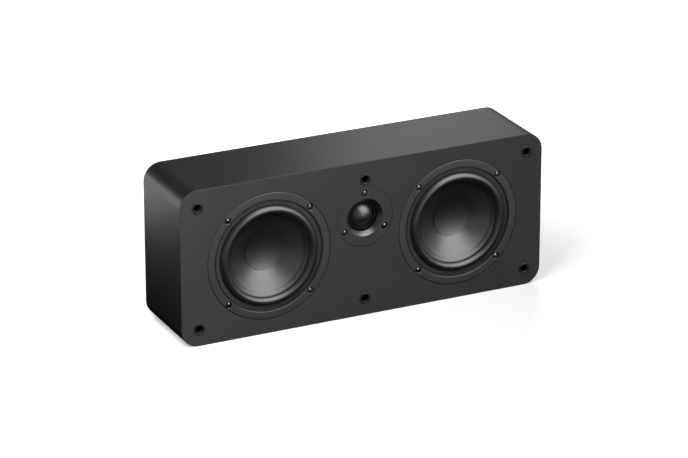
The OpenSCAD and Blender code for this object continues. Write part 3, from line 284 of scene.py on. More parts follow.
def placed(name, piece, move):
    # a moved copy of a piece that was made round the origin
    mesh = piece.data.copy()
    mesh.name = name
    mesh.transform(move)
    return addObject(name, mesh)


def carve(piece, cutters):
    # takes closed cutters out of a piece, for good
    cutter = gather("cutter", cutters)
    cut = piece.modifiers.new("cut", "BOOLEAN")
    cut.object, cut.operation, cut.solver = cutter, "DIFFERENCE", "EXACT"
    bpy.context.view_layer.update()
    result = bpy.data.meshes.new_from_object(piece.evaluated_get(bpy.context.evaluated_depsgraph_get()))
    piece.modifiers.clear()
    result.name = piece.name
    cleaner = bmesh.new()
    cleaner.from_mesh(result)
    bmesh.ops.remove_doubles(cleaner, verts=cleaner.verts, dist=2e-6)
    bmesh.ops.dissolve_degenerate(cleaner, edges=cleaner.edges, dist=1e-6)
    cleaner.to_mesh(result)
    cleaner.free()
    result.set_sharp_from_angle(angle=math.radians(32))
    piece.data = result
    bpy.data.objects.remove(cutter)
    return piece


def roundCorners(corners, steps=6):
    # each corner is (across, along, radius): an arc of that radius takes its place and touches both sides
    points = []
    flat = np.array([corner[:2] for corner in corners], float)
    for k, corner in enumerate(corners):
        here, radius = flat[k], corner[2]
        if not radius:
            points.append(here)
            continue
        back, ahead = flat[k - 1] - here, flat[(k + 1) % len(flat)] - here
        back, ahead = back / np.linalg.norm(back), ahead / np.linalg.norm(ahead)
        half = math.acos(np.clip(back @ ahead, -1, 1)) / 2
        centre = here + (back + ahead) / np.linalg.norm(back + ahead) * radius / math.sin(half)
        first, last = (here + way * radius / math.tan(half) - centre for way in (back, ahead))
        t = np.linspace(0, 1, steps + 1)[:, None]
        span = math.pi - 2 * half
        arc = (np.sin((1 - t) * span) * first + np.sin(t * span) * last) / math.sin(span)
        points.extend(centre + arc)
    return np.array(points)


def ring(inner, outer, near, far, roundIn=0, roundOut=0, steps=3):
    # profile (r, d) of a flat ring between two radii and two depths
    corners = [(inner, near, roundIn), (outer, near, roundOut), (outer, far, roundOut), (inner, far, roundIn)]
    return roundCorners(corners, steps)


def roundedLoop(width, height, radius, perCorner=24):
    # points (x, z) of a rounded rectangle in millimetres
    w, h, r = width / 2, height / 2, radius
    arcs = []
    for q, (x, z) in enumerate(((w - r, h - r), (r - w, h - r), (r - w, r - h), (w - r, r - h))):
        a = np.linspace(0, math.pi / 2, perCorner) + q * math.pi / 2
        arcs.append(np.stack([x + r * np.cos(a), z + r * np.sin(a)], axis=-1))
    return np.concatenate(arcs)


def spin(name, outline, axis=(0.0, 0.0), turns=144, closed=True, base=frontY, ripple=None):
    # a profile (r, d) in millimetres turned round an axis (x, z): x + r cos a, base + d, z + r sin a;
    # a ripple(a, r, d) in millimetres is added to r
    outline = np.array(outline, float)
    a = np.linspace(0, 2 * math.pi, turns, endpoint=False)[None, :]
    r, d = outline[:, :1] + 0 * a, outline[:, 1:] + 0 * a
    if ripple:
        r = r + ripple(a, r, d)
    points = [axis[0] + r * np.cos(a) / 1000, base + d / 1000, axis[1] + r * np.sin(a) / 1000]
    return gridPiece(name, np.stack(points, axis=-1), closeRows=closed)


def drill(r, near, far, place=(0, 0), turns=48, base=0):
    # a round cutter between two depths
    return spin("drill", [(0, near), (r, near), (r, far), (0, far)], place, turns, closed=False, base=base)


def loft(name, stations, centre, closeRows=False):
    # rounded rectangles in rows: each station is (depth in metres, width, height, corner radius), the rest in millimetres
    rows = []
    for depth, width, height, radius in stations:
        loop = roundedLoop(width, height, radius) / 1000
        rows.append(np.stack([centre[0] + loop[:, 0], np.full(len(loop), depth), centre[1] + loop[:, 1]], axis=-1))
    return gridPiece(name, np.array(rows), closeRows=closeRows)


def slab(name, outline, thick, bevel):
    # a flat outline (x, z) in millimetres, stood up round y = 0 with a thickness, and its edges rounded off
    shape = bmesh.new()
    flat = np.array(outline, float) / 1000
    face = shape.faces.new([shape.verts.new((x, -thick / 2000, z)) for x, z in flat])
    grown = bmesh.ops.extrude_face_region(shape, geom=[face])
    far = [item for item in grown["geom"] if isinstance(item, bmesh.types.BMVert)]
    bmesh.ops.translate(shape, verts=far, vec=(0, thick / 1000, 0))
    bmesh.ops.recalc_face_normals(shape, faces=shape.faces)
    rims = {edge for side in shape.faces if abs(side.normal.y) > 0.9 for edge in side.edges}
    bmesh.ops.bevel(shape, geom=list(rims), offset=bevel / 1000, segments=2, profile=0.5, affect="EDGES")
    mesh = bpy.data.meshes.new(name)
    shape.to_mesh(mesh)
    shape.free()
    return cleanPiece(name, mesh)


def tube(points, radius, sides=12, steps=6, ripple=None):
    # a round section carried along a smooth curve through points in millimetres, each stretch a cubic whose slope
    # at a point is half the way from the point before it to the one after;
    # its frame turns with the curve and never twists; a ripple(angle, run) in millimetres is added to the radius
    p = np.array(points, float)
    p = np.concatenate([p[:1], p, p[-1:]])
    t = np.linspace(0, 1, steps, endpoint=False)[None, :, None]
    a, b, c, d = (p[k:len(p) - 3 + k, None, :] for k in range(4))
    line = 0.5 * (2 * b + (c - a) * t + (2 * a - 5 * b + 4 * c - d) * t ** 2 + (3 * b - a - 3 * c + d) * t ** 3)
    line = np.concatenate([line.reshape(-1, 3), p[-1:]])
    ahead = np.gradient(line, axis=0)
    ahead /= np.linalg.norm(ahead, axis=1)[:, None]
    across = np.empty_like(ahead)
    side = np.cross(ahead[0], (0.3, 0.5, 0.81))
    for k, way in enumerate(ahead):      # one step for each ring of the tube
        side = side - (side @ way) * way
        side = side / np.linalg.norm(side)
        across[k] = side
    other = np.cross(ahead, across)
    run = np.concatenate([[0], np.cumsum(np.linalg.norm(np.diff(line, axis=0), axis=1))])[:, None]
    angle = np.linspace(0, 2 * math.pi, sides, endpoint=False)[None, :]
    r = (radius + (ripple(angle, run) if ripple else 0 * angle))[..., None]
    circle = np.cos(angle)[..., None] * across[:, None, :] + np.sin(angle)[..., None] * other[:, None, :]
    return gridPiece("tube", (line[:, None, :] + r * circle) / 1000)


def scallop(start, end, pitch, depth):
    # points from start to end, bulging by a row of half waves, one for each turn of wire
    start, end = np.array(start, float), np.array(end, float)
    length = np.linalg.norm(end - start)
    count = max(2, round(length / pitch))
    t = np.linspace(0, 1, count * 4 + 1)
    along = (end - start) / length
    out = np.array([along[1], -along[0]])
    bulge = (np.abs(np.sin(math.pi * count * t)) - 1)[:, None] * depth
    return (start + t[:, None] * (end - start) + bulge * out).tolist()


def winding(inner, outer, near, far, pitch, depth):
    # profile of a coil on a former: plain inside, one bulge for each turn outside
    return [(inner, near)] + scallop((outer, near), (outer, far), pitch, depth) + [(inner, far)]


def halfRoll(radius, section, wall, depth, steps):
    # both sides of a half round: r = radius + section cos t, d = depth - section sin t, and the same less the wall
    t, inside = np.linspace(0, math.pi, steps), section - wall
    over = np.stack([radius + section * np.cos(t), depth - section * np.sin(t)], axis=-1)
    under = np.stack([radius - inside * np.cos(t), depth - inside * np.sin(t)], axis=-1)
    return over.tolist(), under.tolist()


def onCircle(axis, radius, degrees):
    # a place (x, z) in metres on a circle in millimetres round an axis
    t = math.radians(degrees)
    return axis[0] + radius * math.cos(t) / 1000, axis[1] + radius * math.sin(t) / 1000


def dress(piece, material, slot, body, *replaced):
    # gives the piece its finish and its body, and hides the CAD nodes it replaces; slot is not used
    piece.data.materials.clear()
    piece.data.materials.append(material)
    even = piece.modifiers.new("evenNormals", "WEIGHTED_NORMAL")
    even.keep_sharp = True
    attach(piece, body)
    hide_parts(*replaced)


def softRing(piece, material, body, replaced, axis):
    # a soft ring gets its finish and its shape baked in place, and the CAD node it replaces is hidden; body is not used
    piece.data.materials.clear()
    piece.data.materials.append(material)
    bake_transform(piece)
    places = np.empty(len(piece.data.vertices) * 3)
    piece.data.vertices.foreach_get("co", places)
    places = places.reshape(-1, 3)
    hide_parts(replaced)


def paintFaces(piece, material, chosen):
    # the faces for which chosen(centres, normals) holds take a second finish
    faces = piece.data.polygons
    read = {}
    for key in ("center", "normal"):
        read[key] = np.empty(len(faces) * 3)
        faces.foreach_get(key, read[key])
    picked = chosen(read["center"].reshape(-1, 3), read["normal"].reshape(-1, 3))
    piece.data.materials.append(material)
    faces.foreach_set("material_index", picked.astype(np.int32))


# Cabinet: a wrapped sleeve behind a front panel, both with softened edges; sizes in millimetres
cabinet = {"width": 433.5, "height": 178, "corner": 20, "wall": 12, "edge": 0.65, "baffle": 15, "depth": 98}
# where the drivers and the grille sockets sit, in metres from the middle of the panel
layout = {"woofer": 0.1134, "tweeter": 0.025, "socketX": 0.19675, "socketZ": 0.069}
# what is cut out of the panel, as radius and depth in millimetres
holes = {"woofer": [(0, -2), (72.65, -2), (72.65, 6), (63.8, 6), (63.8, 17), (0, 17)],
         "tweeter": [(0, -2), (33.85, -2), (33.85, 5), (24.1, 5), (24.1, 17), (0, 17)], "socket": 5.3}
driverAxes = {side: (sign * layout["woofer"], midZ) for side, sign in sides.items()}
tweeterAxis = (0.0, midZ + layout["tweeter"])
socketPlaces = [(x, midZ + z) for x in (-layout["socketX"], 0, layout["socketX"])
                for z in (-layout["socketZ"], layout["socketZ"])]


def cabinetLoft(name, stations, closeRows=False):
    # stations are (depth behind the front, inset from the outline, corner radius after the inset)
    rows = [(frontY + depth / 1000, cabinet["width"] - 2 * inset, cabinet["height"] - 2 * inset, radius)
            for depth, inset, radius in stations]
    return loft(name, rows, (0, midZ), closeRows)


def softEdge(start, way):
    # a quarter circle from the sides of the box into its face
    edge, rows = cabinet["edge"], []
    for t in np.linspace(0, math.pi / 2, 7)[1:]:
        inset = edge * (1 - math.cos(t))
        rows.append((start + way * edge * math.sin(t), inset, cabinet["corner"] - inset))
    return rows


outside = (0, cabinet["corner"])
inside = (cabinet["wall"], cabinet["corner"] - cabinet["wall"])
sleeveEnd = cabinet["depth"] - cabinet["edge"]
sleeveRows = [(cabinet["baffle"], *outside), (sleeveEnd, *outside)] + softEdge(sleeveEnd, 1)
sleeveRows += [(cabinet["depth"], *inside), (cabinet["baffle"], *inside)]
dress(cabinetLoft("cabinetSleeve", sleeveRows, closeRows=True), wrapVinyl, "wrap_vinyl", "cabinet", "cabinet_wrap")

panelRows = [(cabinet["baffle"], *outside), (cabinet["edge"], *outside)] + softEdge(cabinet["edge"], -1)
panel = cabinetLoft("frontPanel", panelRows)
cutters = [spin("hole", holes["woofer"], axis, closed=False) for axis in driverAxes.values()]
cutters += [spin("hole", holes["tweeter"], tweeterAxis, closed=False)]
cutters += [drill(holes["socket"], -2, 17, place, 64, frontY) for place in socketPlaces]
carve(panel, cutters)
dress(panel, baffleLacquer, "baffle_paint", "cabinet", "front_baffle")


def onSides(centres, normals):
    # at the outer edge, and not facing the front or the back
    outer = (np.abs(centres[:, 0]) > 0.2) | (np.abs(centres[:, 2] - midZ) > 0.08)
    return (np.abs(normals[:, 1]) < 0.6) & outer


paintFaces(panel, wrapVinyl, onSides)      # the wrap runs on over the sides of the panel, behind its rounded edge
print("cabinet done")

# Woofers, as depths behind the front face and radii from the axis, in millimetres
woofer = {"roll": 52.2, "section": 5.0, "rubber": 0.6, "rollDepth": 2.0, "lip": 43.0, "rim": 47.4, "rimDepth": 3.2,
          "slope": 0.45, "flare": 0.0027, "cone": 0.9, "neck": 13.1, "cap": 21.4, "sag": 3.6, "capWall": 0.7,
          "step": 63.5, "frame": 72.1, "flange": 5.0, "ledge": 28.485, "seat": 37.985, "screwCircle": 68.0,
          "spokes": 6, "spokeAngle": 16, "wave": 1.1, "waves": 4, "cloth": 0.3,
          "plate": 5.0, "magnet": 14.0, "strip": 30.935, "tab": 31.535}


def coneDepth(r):
    # depth of the front of the cone at r: a line that steepens towards the neck
    t = woofer["roll"] - woofer["section"] - r
    return woofer["rimDepth"] + woofer["slope"] * t + woofer["flare"] * t * t


def rollOutline():
    # half circle of rubber with a flat outer flange and an inner lip that lies on the cone
    over, under = halfRoll(woofer["roll"], woofer["section"], woofer["rubber"], woofer["rollDepth"], 33)
    first, end = woofer["roll"] - woofer["section"], woofer["lip"]
    root, lip = coneDepth(first) - 0.25, coneDepth(end) - 0.25
    bond = [(first, root - 0.7), (first - 0.5, root - 0.6), (end + 0.3, lip - 0.55), (end, lip - 0.3), (end, lip),
            (first + 0.6, root - 0.2)]
    return [(62.9, 2.85), (57.6, 2.85)] + over + bond + under + [(56.6, 3.45), (62.9, 3.45)]


def wedge(angle, half, near, far, reach=95):
    # a pie slice between two depths, with its point on the axis of a driver
    shape = [(0.0, 0.0)] + [(reach * math.cos(angle + way * half), reach * math.sin(angle + way * half)) for way in (-1, 1)]
    mesh = bpy.data.meshes.new("wedge")
    mesh.from_pydata([(x / 1000, frontY + d / 1000, z / 1000) for d in (near, far) for x, z in shape], [],
                     [(0, 1, 2), (5, 4, 3), (0, 3, 4, 1), (1, 4, 5, 2), (2, 5, 3, 0)])
    return cleanPiece("wedge", mesh)


def screwBore(axis, circle, degrees, far):
    # the counterbore of a screw on a driver's screw circle
    bore = [(0, -2), (4.1, -2), (4.1, 0), (3.7, 0.4), (3.7, 2.3), (2.3, 2.3), (2.3, far), (0, far)]
    return spin("bore", bore, onCircle(axis, circle, degrees), 48, closed=False)


def basketShape():
    # pressed frame: rounded profile turned round the axis, less its windows and screw holes, with a rib down each spoke
    step, out, flange, ledge, seat = (woofer[key] for key in ("step", "frame", "flange", "ledge", "seat"))
    profile = roundCorners([
        (step, 0, 0.8), (out, 0, 0.8), (out, flange, 0.3), (62.5, flange, 0.3), (62.5, 8, 1.5), (44, ledge, 1.2),
        (44, ledge + 1.8, 0.8), (40, ledge + 1.8, 0.4), (40, seat, 0.8), (15, seat, 0.2), (15, seat - 2, 0.4),
        (38, seat - 2, 1.0), (38, ledge, 0.6), (42, ledge, 0.6), (60.5, 8, 1.0), (60.5, 6, 0.3), (57.3, 6, 0.2),
        (57.3, 3.5, 0.2), (step, 3.5, 0.2)], 4)
    shell = spin("basketShell", profile, turns=192)
    spokes = range(woofer["spokes"])
    pitch = 2 * math.pi / len(spokes)
    half = (pitch - math.radians(woofer["spokeAngle"])) / 2
    cuts = [wedge(k * pitch, half, 9.5, ledge - 1.5) for k in spokes]
    cuts += [screwBore((0, 0), woofer["screwCircle"], 45 + 90 * k, 7) for k in range(4)]
    carve(shell, cuts)
    ribOutline = [(61.5, 4), (63.2, 4), (63.2, 14.5), (47, ledge + 0.8), (43, ledge + 0.8), (43, ledge), (61.5, 8)]
    rib = slab("rib", ribOutline, 3, 0.4)
    moves = [Matrix.Rotation((k + 0.5) * pitch, 4, "Y") @ shift(y=frontY) @ acrossDepth for k in spokes]
    return gather("basket", [shell] + [rib] * len(spokes), [Matrix.Identity(4)] + moves)


def spiderOutline():
    # rippled cloth between two flat rings: depth = middle + height of a wave x sin(turns along the radius)
    s = np.linspace(0, 1, 16 * woofer["waves"] + 1)
    r, ripple = 16 + s * 20.5, woofer["wave"] * np.sin(2 * math.pi * woofer["waves"] * s)
    low, high = ([(13.2, d)] + np.stack([r, d + ripple], axis=-1).tolist() + [(41.5, d)]
                 for d in (woofer["ledge"] - 0.35 - woofer["cloth"], woofer["ledge"] - 0.35 + woofer["cloth"]))
    return low + high[::-1]


def leadShape():
    # two braided leads; their strands cross as two helices round the section
    route = [(49, 29.735), (50.5, 25.235), (46, 21.985), (36, 21.985), (26, 21.385), (19.5, 19.337)]
    braid = lambda angle, run: 0.07 * np.abs(np.sin(2 * angle + run * 2.4)) - 0.07 * np.abs(np.sin(2 * angle - run * 2.4))
    leads = []
    for lean in (-13, 13):
        a = math.radians(-90 + lean)
        points = [(r * math.cos(a), frontY * 1000 + d, r * math.sin(a)) for r, d in route]
        leads.append(tube(points, 0.43, steps=14, ripple=braid))
    return gather("leads", leads)


def stripShape():
    # fibre strip with rounded corners and two rivets
    rivet = [(0, -0.75), (0.7, -0.75), (1.2, -0.45), (1.2, 0.7), (0, 0.7)]
    rivets = [spin("rivet", rivet, (x, 0.0036), 24, closed=False, base=0) for x in (-0.005, 0.005)]
    strip = gather("strip", [slab("strip", roundedLoop(18, 14, 1.2, 5), 1.2, 0.12)] + rivets)
    return gather("strip", [strip], [shift(0, frontY + woofer["strip"] / 1000, -0.048) @ acrossDepth])


def tabShape(width, length):
    # push-on tab: a flat blade with a rounded tip and a detent hole, standing along Y
    w = width / 2
    tip = [(w, length - 1), (w - 0.9, length), (0.9 - w, length), (-w, length - 1)]
    blade = slab("blade", [(-w, 0), (w, 0)] + tip, 0.8, 0.12)
    return carve(blade, [drill(0.7, -2, 2, (0, length * 0.6 / 1000), 24)])


def dishOutline(r, front, wall):
    # a shell of even depth: its front, then its back the other way
    outline = np.stack([r, front], axis=-1)
    return np.concatenate([outline, outline[::-1] + (0, wall)])


seat, motor = woofer["seat"], woofer["seat"] + woofer["plate"]
magnetEnd = motor + woofer["magnet"]
end = magnetEnd + woofer["plate"]
r = np.linspace(woofer["rim"], woofer["neck"], 33)
cone = spin("cone", dishOutline(r, coneDepth(r), woofer["cone"]), turns=192)
r = np.linspace(woofer["cap"], 0, 33)
dish = coneDepth(woofer["cap"]) - woofer["capWall"] - 0.15 + woofer["sag"] * (1 - (r / woofer["cap"]) ** 2)      # a parabola
cap = spin("cap", dishOutline(r, dish, woofer["capWall"]))
gasket = roundCorners([(57.55, 2, 0.2), (60.2, 2, 0.1), (60.3, 2.12, 0), (60.6, 2.12, 0), (60.7, 2, 0.1), (62.1, 2, 0.4),
                       (62.1, 2.8, 0), (57.55, 2.8, 0)], 4)      # a fine groove runs round it
pole = roundCorners([(4, seat, 0.4), (12.3, seat, 0.4), (12.3, magnetEnd, 0), (38, magnetEnd, 0.5), (38, end, 0.8),
                     (5.5, end, 0.3), (4, end - 1.5, 0.3)], 3)
tabMoves = [shift(x, frontY + woofer["tab"] / 1000, -0.0505) @ acrossDepth for x in (-0.005, 0.005)]
# each rigid part of a woofer, made round the origin, with its finish, its slot and what it moves with
wooferParts = {
    "cone": (cone, conePolymer, "cone_poly", "diaphragm"),
    "dust_cap": (cap, capPolymer, "cap_poly", "diaphragm"),
    "voice_coil": (spin("coil", winding(13.08, 13.88, 35.5, 45.47, 0.4, 0.12), turns=96), copperWire, "copper", "diaphragm"),
    "basket": (basketShape(), powderCoat, "basket_paint", "cabinet"),
    "seal": (spin("seal", ring(64.3, 71.1, 5, 6, 0.3, 0.3, 4)), sealFoam, "seal_foam", "cabinet"),
    "gasket": (spin("gasket", gasket, turns=192), trimAbs, "gasket_trim", "cabinet"),
    "top_plate": (spin("plate", ring(14.3, 38, seat, motor, 0.2, 0.5)), zincSteel, "plated_steel", "cabinet"),
    "magnet": (spin("magnet", ring(22.5, 40, motor, magnetEnd, 0.4, 1.2)), ferrite, "ferrite", "cabinet"),
    "back_plate": (spin("pole", pole), zincSteel, "plated_steel", "cabinet"),
    "terminals": (gather("tabs", [tabShape(4.8, 8)] * 2, tabMoves), brassTab, "brass", "cabinet"),
}
former = spin("former", ring(12.7, 13.05, 21.085, 46.485), turns=96)
spider, leads, strip = spin("spider", spiderOutline()), leadShape(), stripShape()

for side, axis in driverAxes.items():
    body, node, move = f"woofer_{side}_diaphragm", f"woofer_{side}_", shift(axis[0], 0, axis[1])
    roll = spin(f"{side}Surround", rollOutline(), axis, turns=192)
    softRing(roll, surroundButyl, body, node + "surround", axis)
    softRing(placed(f"{side}Spider", spider, move), dippedCotton, body, node + "spider", axis)
    softRing(placed(f"{side}Leads", leads, move), copperBraid, body, node + "leads", axis)
    for part, (shape, material, slot, rides) in wooferParts.items():
        name = side + "".join(word.capitalize() for word in part.split("_"))
        dress(placed(name, shape, move), material, slot, body if rides == "diaphragm" else rides, node + part)
    dress(placed(f"{side}Former", former, move), aluminiumFoil, "plated_steel", body)
    dress(placed(f"{side}TerminalStrip", strip, move), pressedFibre, "circuit_board", "cabinet")
for shape in [former, spider, leads, strip] + [row[0] for row in wooferParts.values()]:
    bpy.data.objects.remove(shape)
print("woofers done")

# Tweeter, in the same way
tweeter = {"dome": 13.2, "height": 7.0, "edge": 8.2, "wall": 0.4, "roll": 15.15, "section": 1.75, "screwCircle": 27.7,
           "throat": 17.2, "mouth": 21.6, "throatDepth": 5.3, "flare": 1.15}
screwTurns = (90, 210, 330)      # degrees
s = np.linspace(0, 1, 13)[:-1]
widen = tweeter["mouth"] - tweeter["throat"]
flare = [(tweeter["throat"] + widen * a ** tweeter["flare"], tweeter["throatDepth"] * (1 - a), 0) for a in s]
plateOutline = [(tweeter["throat"], 8.5, 0)] + flare      # the horn widens with a power of the way out
plateOutline += [(tweeter["mouth"], 0, 0.2), (33.5, 0, 0.6), (33.5, 4, 0.3), (23.5, 4, 0.3), (23.5, 9, 0.3), (20.5, 9, 0),
                 (20.5, 8.5, 0)]
face = spin("tweeterFaceplate", roundCorners(plateOutline), tweeterAxis, turns=192)
carve(face, [screwBore(tweeterAxis, tweeter["screwCircle"], t, 6) for t in screwTurns])
dress(face, faceplateAbs, "faceplate_plastic", "cabinet", "tweeter_faceplate")


def inMouth(centres, normals):
    # closer to the axis than the edge of the mouth
    return np.hypot(centres[:, 0] - tweeterAxis[0], centres[:, 2] - tweeterAxis[1]) < tweeter["mouth"] / 1000


# the mouth takes the darker polished finish: painted shade inside the horn on a real polished surface
paintFaces(face, shadedHornAbs, inMouth)

bend = (tweeter["dome"] ** 2 + tweeter["height"] ** 2) / (2 * tweeter["height"])      # radius of the sphere it is cut from
r = np.linspace(tweeter["dome"], 0, 33)
crown = tweeter["edge"] - tweeter["height"] + bend - np.sqrt(bend ** 2 - r ** 2)
dome = spin("domeCap", dishOutline(r, crown, tweeter["wall"]), tweeterAxis)
dress(dome, domeSilk, "dome_cloth", "tweeter_diaphragm", "tweeter_dome")
over, under = halfRoll(tweeter["roll"], tweeter["section"], tweeter["wall"], tweeter["edge"], 25)
rollRing = spin("domeRoll", [(20.2, 8.55), (16.9, 8.55)] + over + under + [(16.5, 8.95), (20.2, 8.95)], tweeterAxis)
softRing(rollRing, rollCloth, "tweeter_diaphragm", "tweeter_surround", tweeterAxis)

poleOutline = roundCorners([(5, 9, 0.3), (12.1, 9, 0.3), (12.1, 20, 0), (22, 20, 0.4), (22, 23, 0.5), (5, 23, 0.3)], 3)
rearOutline = roundCorners([(13.9, 23, 0.2), (15.5, 23, 0.2), (15.5, 34, 2), (0, 34, 0), (0, 32.4, 0), (13.9, 32.4, 1.2)], 5)
for name, outline, material, slot, rides, *stands in (
        ("Winding", winding(12.57, 12.94, 9.4, 11.8, 0.2, 0.06), copperWire, "copper", "tweeter_diaphragm", "voice_coil"),
        ("Former", ring(12.35, 12.55, 8.25, 12.6), aluminiumFoil, "plated_steel", "tweeter_diaphragm"),
        ("TopPlate", ring(13.2, 22, 9, 12, 0.2, 0.4), zincSteel, "plated_steel", "cabinet", "top_plate"),
        ("Magnet", ring(14.4, 22, 12, 20, 0.3, 0.8), ferrite, "ferrite", "cabinet", "magnet"),
        ("BackPlate", poleOutline, zincSteel, "plated_steel", "cabinet", "back_plate"),
        ("RearCup", rearOutline, faceplateAbs, "faceplate_plastic", "cabinet", "rear_cup")):
    dress(spin("tweeter" + name, outline, tweeterAxis), material, slot, rides, *("tweeter_" + word for word in stands))
tabZ = tweeterAxis[1] - 0.01875
block = gather("tweeterBlock", [slab("block", roundedLoop(12, 4.5, 0.5, 4), 4, 0.25)], [shift(0, frontY + 0.025, tabZ)])
dress(block, pressedFibre, "circuit_board", "cabinet")
tabMoves = [shift(x, frontY + 0.027, tabZ) @ acrossDepth for x in (-0.0033, 0.0033)]
dress(gather("tweeterTabs", [tabShape(2.8, 6)] * 2, tabMoves), brassTab, "brass", "cabinet", "tweeter_terminals")
print("tweeter done")

# Grille sockets: a rubber cup with a thick rounded rim that stands proud of the panel
t = np.linspace(0, math.pi, 13)
socketRim = np.stack([5.1 + 1.2 * np.cos(t), -0.2 - 1.2 * np.sin(t)], axis=-1).tolist()
socketOutline = [(0, 12), (5.2, 12), (5.2, 0.02), (6.3, 0.02)] + socketRim + [(3.9, 11), (0, 11)]
cups = [spin("socket", socketOutline, place, turns=72, closed=False) for place in socketPlaces]
dress(gather("rubberSockets", cups), socketRubber, "socket_rubber", "cabinet", "grille_sockets")

# Screws: a domed or a countersunk head with a cross recess over a threaded shank; slot is length, width and depth
domedScrew = {"domed": True, "head": 3.3, "high": 2.2, "shank": 1.9, "length": 12, "slot": (4, 0.9, 1.3)}
flatScrew = {"domed": False, "head": 2.8, "high": 1.6, "shank": 1.4, "length": 9, "slot": (3, 0.7, 0.9)}


def thread(length, r, pitch=1.1, depth=0.28):
    # zigzag between the outer radius and the root, one step for each turn
    count = round(length / pitch)
    d = np.linspace(0, length, 2 * count + 1)
    return [(r - (k % 2) * depth, y) for k, y in enumerate(d)]


def screwShape(screw):
    # the profile of head and thread turned round, less two crossed slots; a domed head is part of a sphere
    head, high, r, end = (screw[key] for key in ("head", "high", "shank", "length"))
    if screw["domed"]:
        bend = (head ** 2 + high ** 2) / (2 * high)
        a = np.linspace(0, head, 13)
        top = np.stack([a, bend - np.sqrt(bend ** 2 - a ** 2) - high], axis=-1).tolist()
        seat = 0.0
    else:
        top = [(0, 0), (head - 0.15, 0), (head, 0.15), (head, 0.16)]
        seat = high
    shank = [(a, seat + d) for a, d in thread(end - seat - 2, r)]
    shape = spin("screw", top + shank + [(r / 5, end), (0, end)], turns=48, closed=False, base=0)
    length, width, deep = (value / 2000 for value in screw["slot"])
    start = top[0][1] / 1000
    for turned in (0, math.pi / 2):
        recess = bpy.data.meshes.new("recess")
        corners = [(x, y, z) for x in (-length, length) for y in (start - 0.002, start + 2 * deep) for z in (-width, width)]
        recess.from_pydata(corners, [], [(0, 1, 3, 2), (4, 6, 7, 5), (0, 4, 5, 1), (2, 3, 7, 6), (0, 2, 6, 4), (1, 5, 7, 3)])
        recess.transform(Matrix.Rotation(turned, 4, "Y"))
        carve(shape, [cleanPiece("recess", recess)])
    return shape


def screwMoves(axis, radius, turns):
    # where each driver screw goes, with its recess left at a turn of its own
    moves = []
    for t in turns:
        x, z = onCircle(axis, radius, t)
        moves.append(shift(x, frontY + 0.0023, z) @ Matrix.Rotation(math.radians(t * 1.7 + 13), 4, "Y"))
    return moves


moves = [move for axis in driverAxes.values() for move in screwMoves(axis, woofer["screwCircle"], (45, 135, 225, 315))]
dress(gather("wooferScrews", [screwShape(domedScrew)] * 8, moves), blackOxide, "black_screw", "cabinet", "woofer_screws")
moves = screwMoves(tweeterAxis, tweeter["screwCircle"], screwTurns)
dress(gather("tweeterScrews", [screwShape(domedScrew)] * 3, moves), blackOxide, "black_screw", "cabinet", "tweeter_screws")
print("sockets and screws done")

# Rear: terminal cup with its posts and nuts, and the two keyhole hangers, with places in metres;
# thicknesses and depths, counted out of the rear face, are millimetres
rear = {"y": 0.049, "cupZ": 0.05, "posts": {"red": 0.011, "black": -0.011}, "cupScrew": (0.036, 0.017),
        "hangers": (-0.15, 0.15), "hangerZ": 0.125, "hangerScrew": 0.022, "plate": 1.5}
cupRows = [(-30, 60, 42, 4), (-29.8, 62.8, 44.8, 5.4), (-29.2, 63.8, 45.8, 5.9), (-28.5, 64, 46, 6), (-2.5, 64, 46, 6),
           (-2.5, 82, 64, 6), (-0.7, 82, 64, 6), (-0.3, 81.8, 63.8, 5.9), (-0.06, 81.3, 63.3, 5.7), (0, 80.6, 62.6, 5.4),
           (0, 61.6, 43.6, 4.8), (-0.1, 60.9, 42.9, 4.5), (-0.4, 60.3, 42.3, 4.2), (-0.9, 60, 42, 4), (-26, 60, 42, 4),
           (-27.2, 59.6, 41.6, 3.8), (-27.8, 58.8, 40.8, 3.4), (-28, 57.5, 39.5, 2.8)]
cup = loft("terminalCup", [(rear["y"] + d / 1000, w, h, r) for d, w, h, r in cupRows], (0, rear["cupZ"]))
cupX, cupUp = rear["cupScrew"]
cupScrews = [(x, rear["cupZ"] + z) for x in (-cupX, cupX) for z in (-cupUp, cupUp)]
hangerScrews = [(x, rear["hangerZ"] + z) for x in rear["hangers"] for z in (-rear["hangerScrew"], rear["hangerScrew"])]
countersink = [(0, 2), (2.9, 2), (2.9, 0), (1.5, -1.6), (1.5, -4), (0, -4)]
sinks = [spin("sink", countersink, place, 40, closed=False, base=rear["y"]) for place in cupScrews]
carve(cup, sinks + [drill(3.1, -34, -25, (x, rear["cupZ"]), base=rear["y"]) for x in sorted(rear["posts"].values())])
dress(cup, cupAbs, "cup_plastic", "cabinet", "terminal_cup")


def postShape():
    # threaded post with a collar, a plug hole in its end and a cross hole for bare wire; the thread is a helix:
    # r falls and rises with depth / pitch - angle
    pitch, depth = 1.0, 0.11
    body = [(0, -44), (2.7, -44), (3, -43.7), (3, -28.6), (5.2, -28.3), (5.5, -28), (5.5, -26.8), (5.2, -26.5), (3, -26.5)]
    body += [(3, d) for d in np.arange(-26.2, -7.5, 0.125)]
    body += [(3, -7.3), (2.75, -7), (2.05, -7), (2.05, -20.6), (1.6, -21), (0, -21)]

    def helix(a, r, d):
        threaded = (np.abs(r - 3) < 0.01) & (d > -22.9) & (d < -7.6)
        return -depth * (1 + np.cos(a - 2 * math.pi * d / pitch)) * threaded

    post = spin("post", body, turns=48, closed=False, base=0, ripple=helix)
    hole = drill(1.5, -6, 6, turns=32)
    hole.data.transform(shift(y=-0.0247) @ Matrix.Rotation(math.pi / 2, 4, "X"))
    return carve(post, [hole])


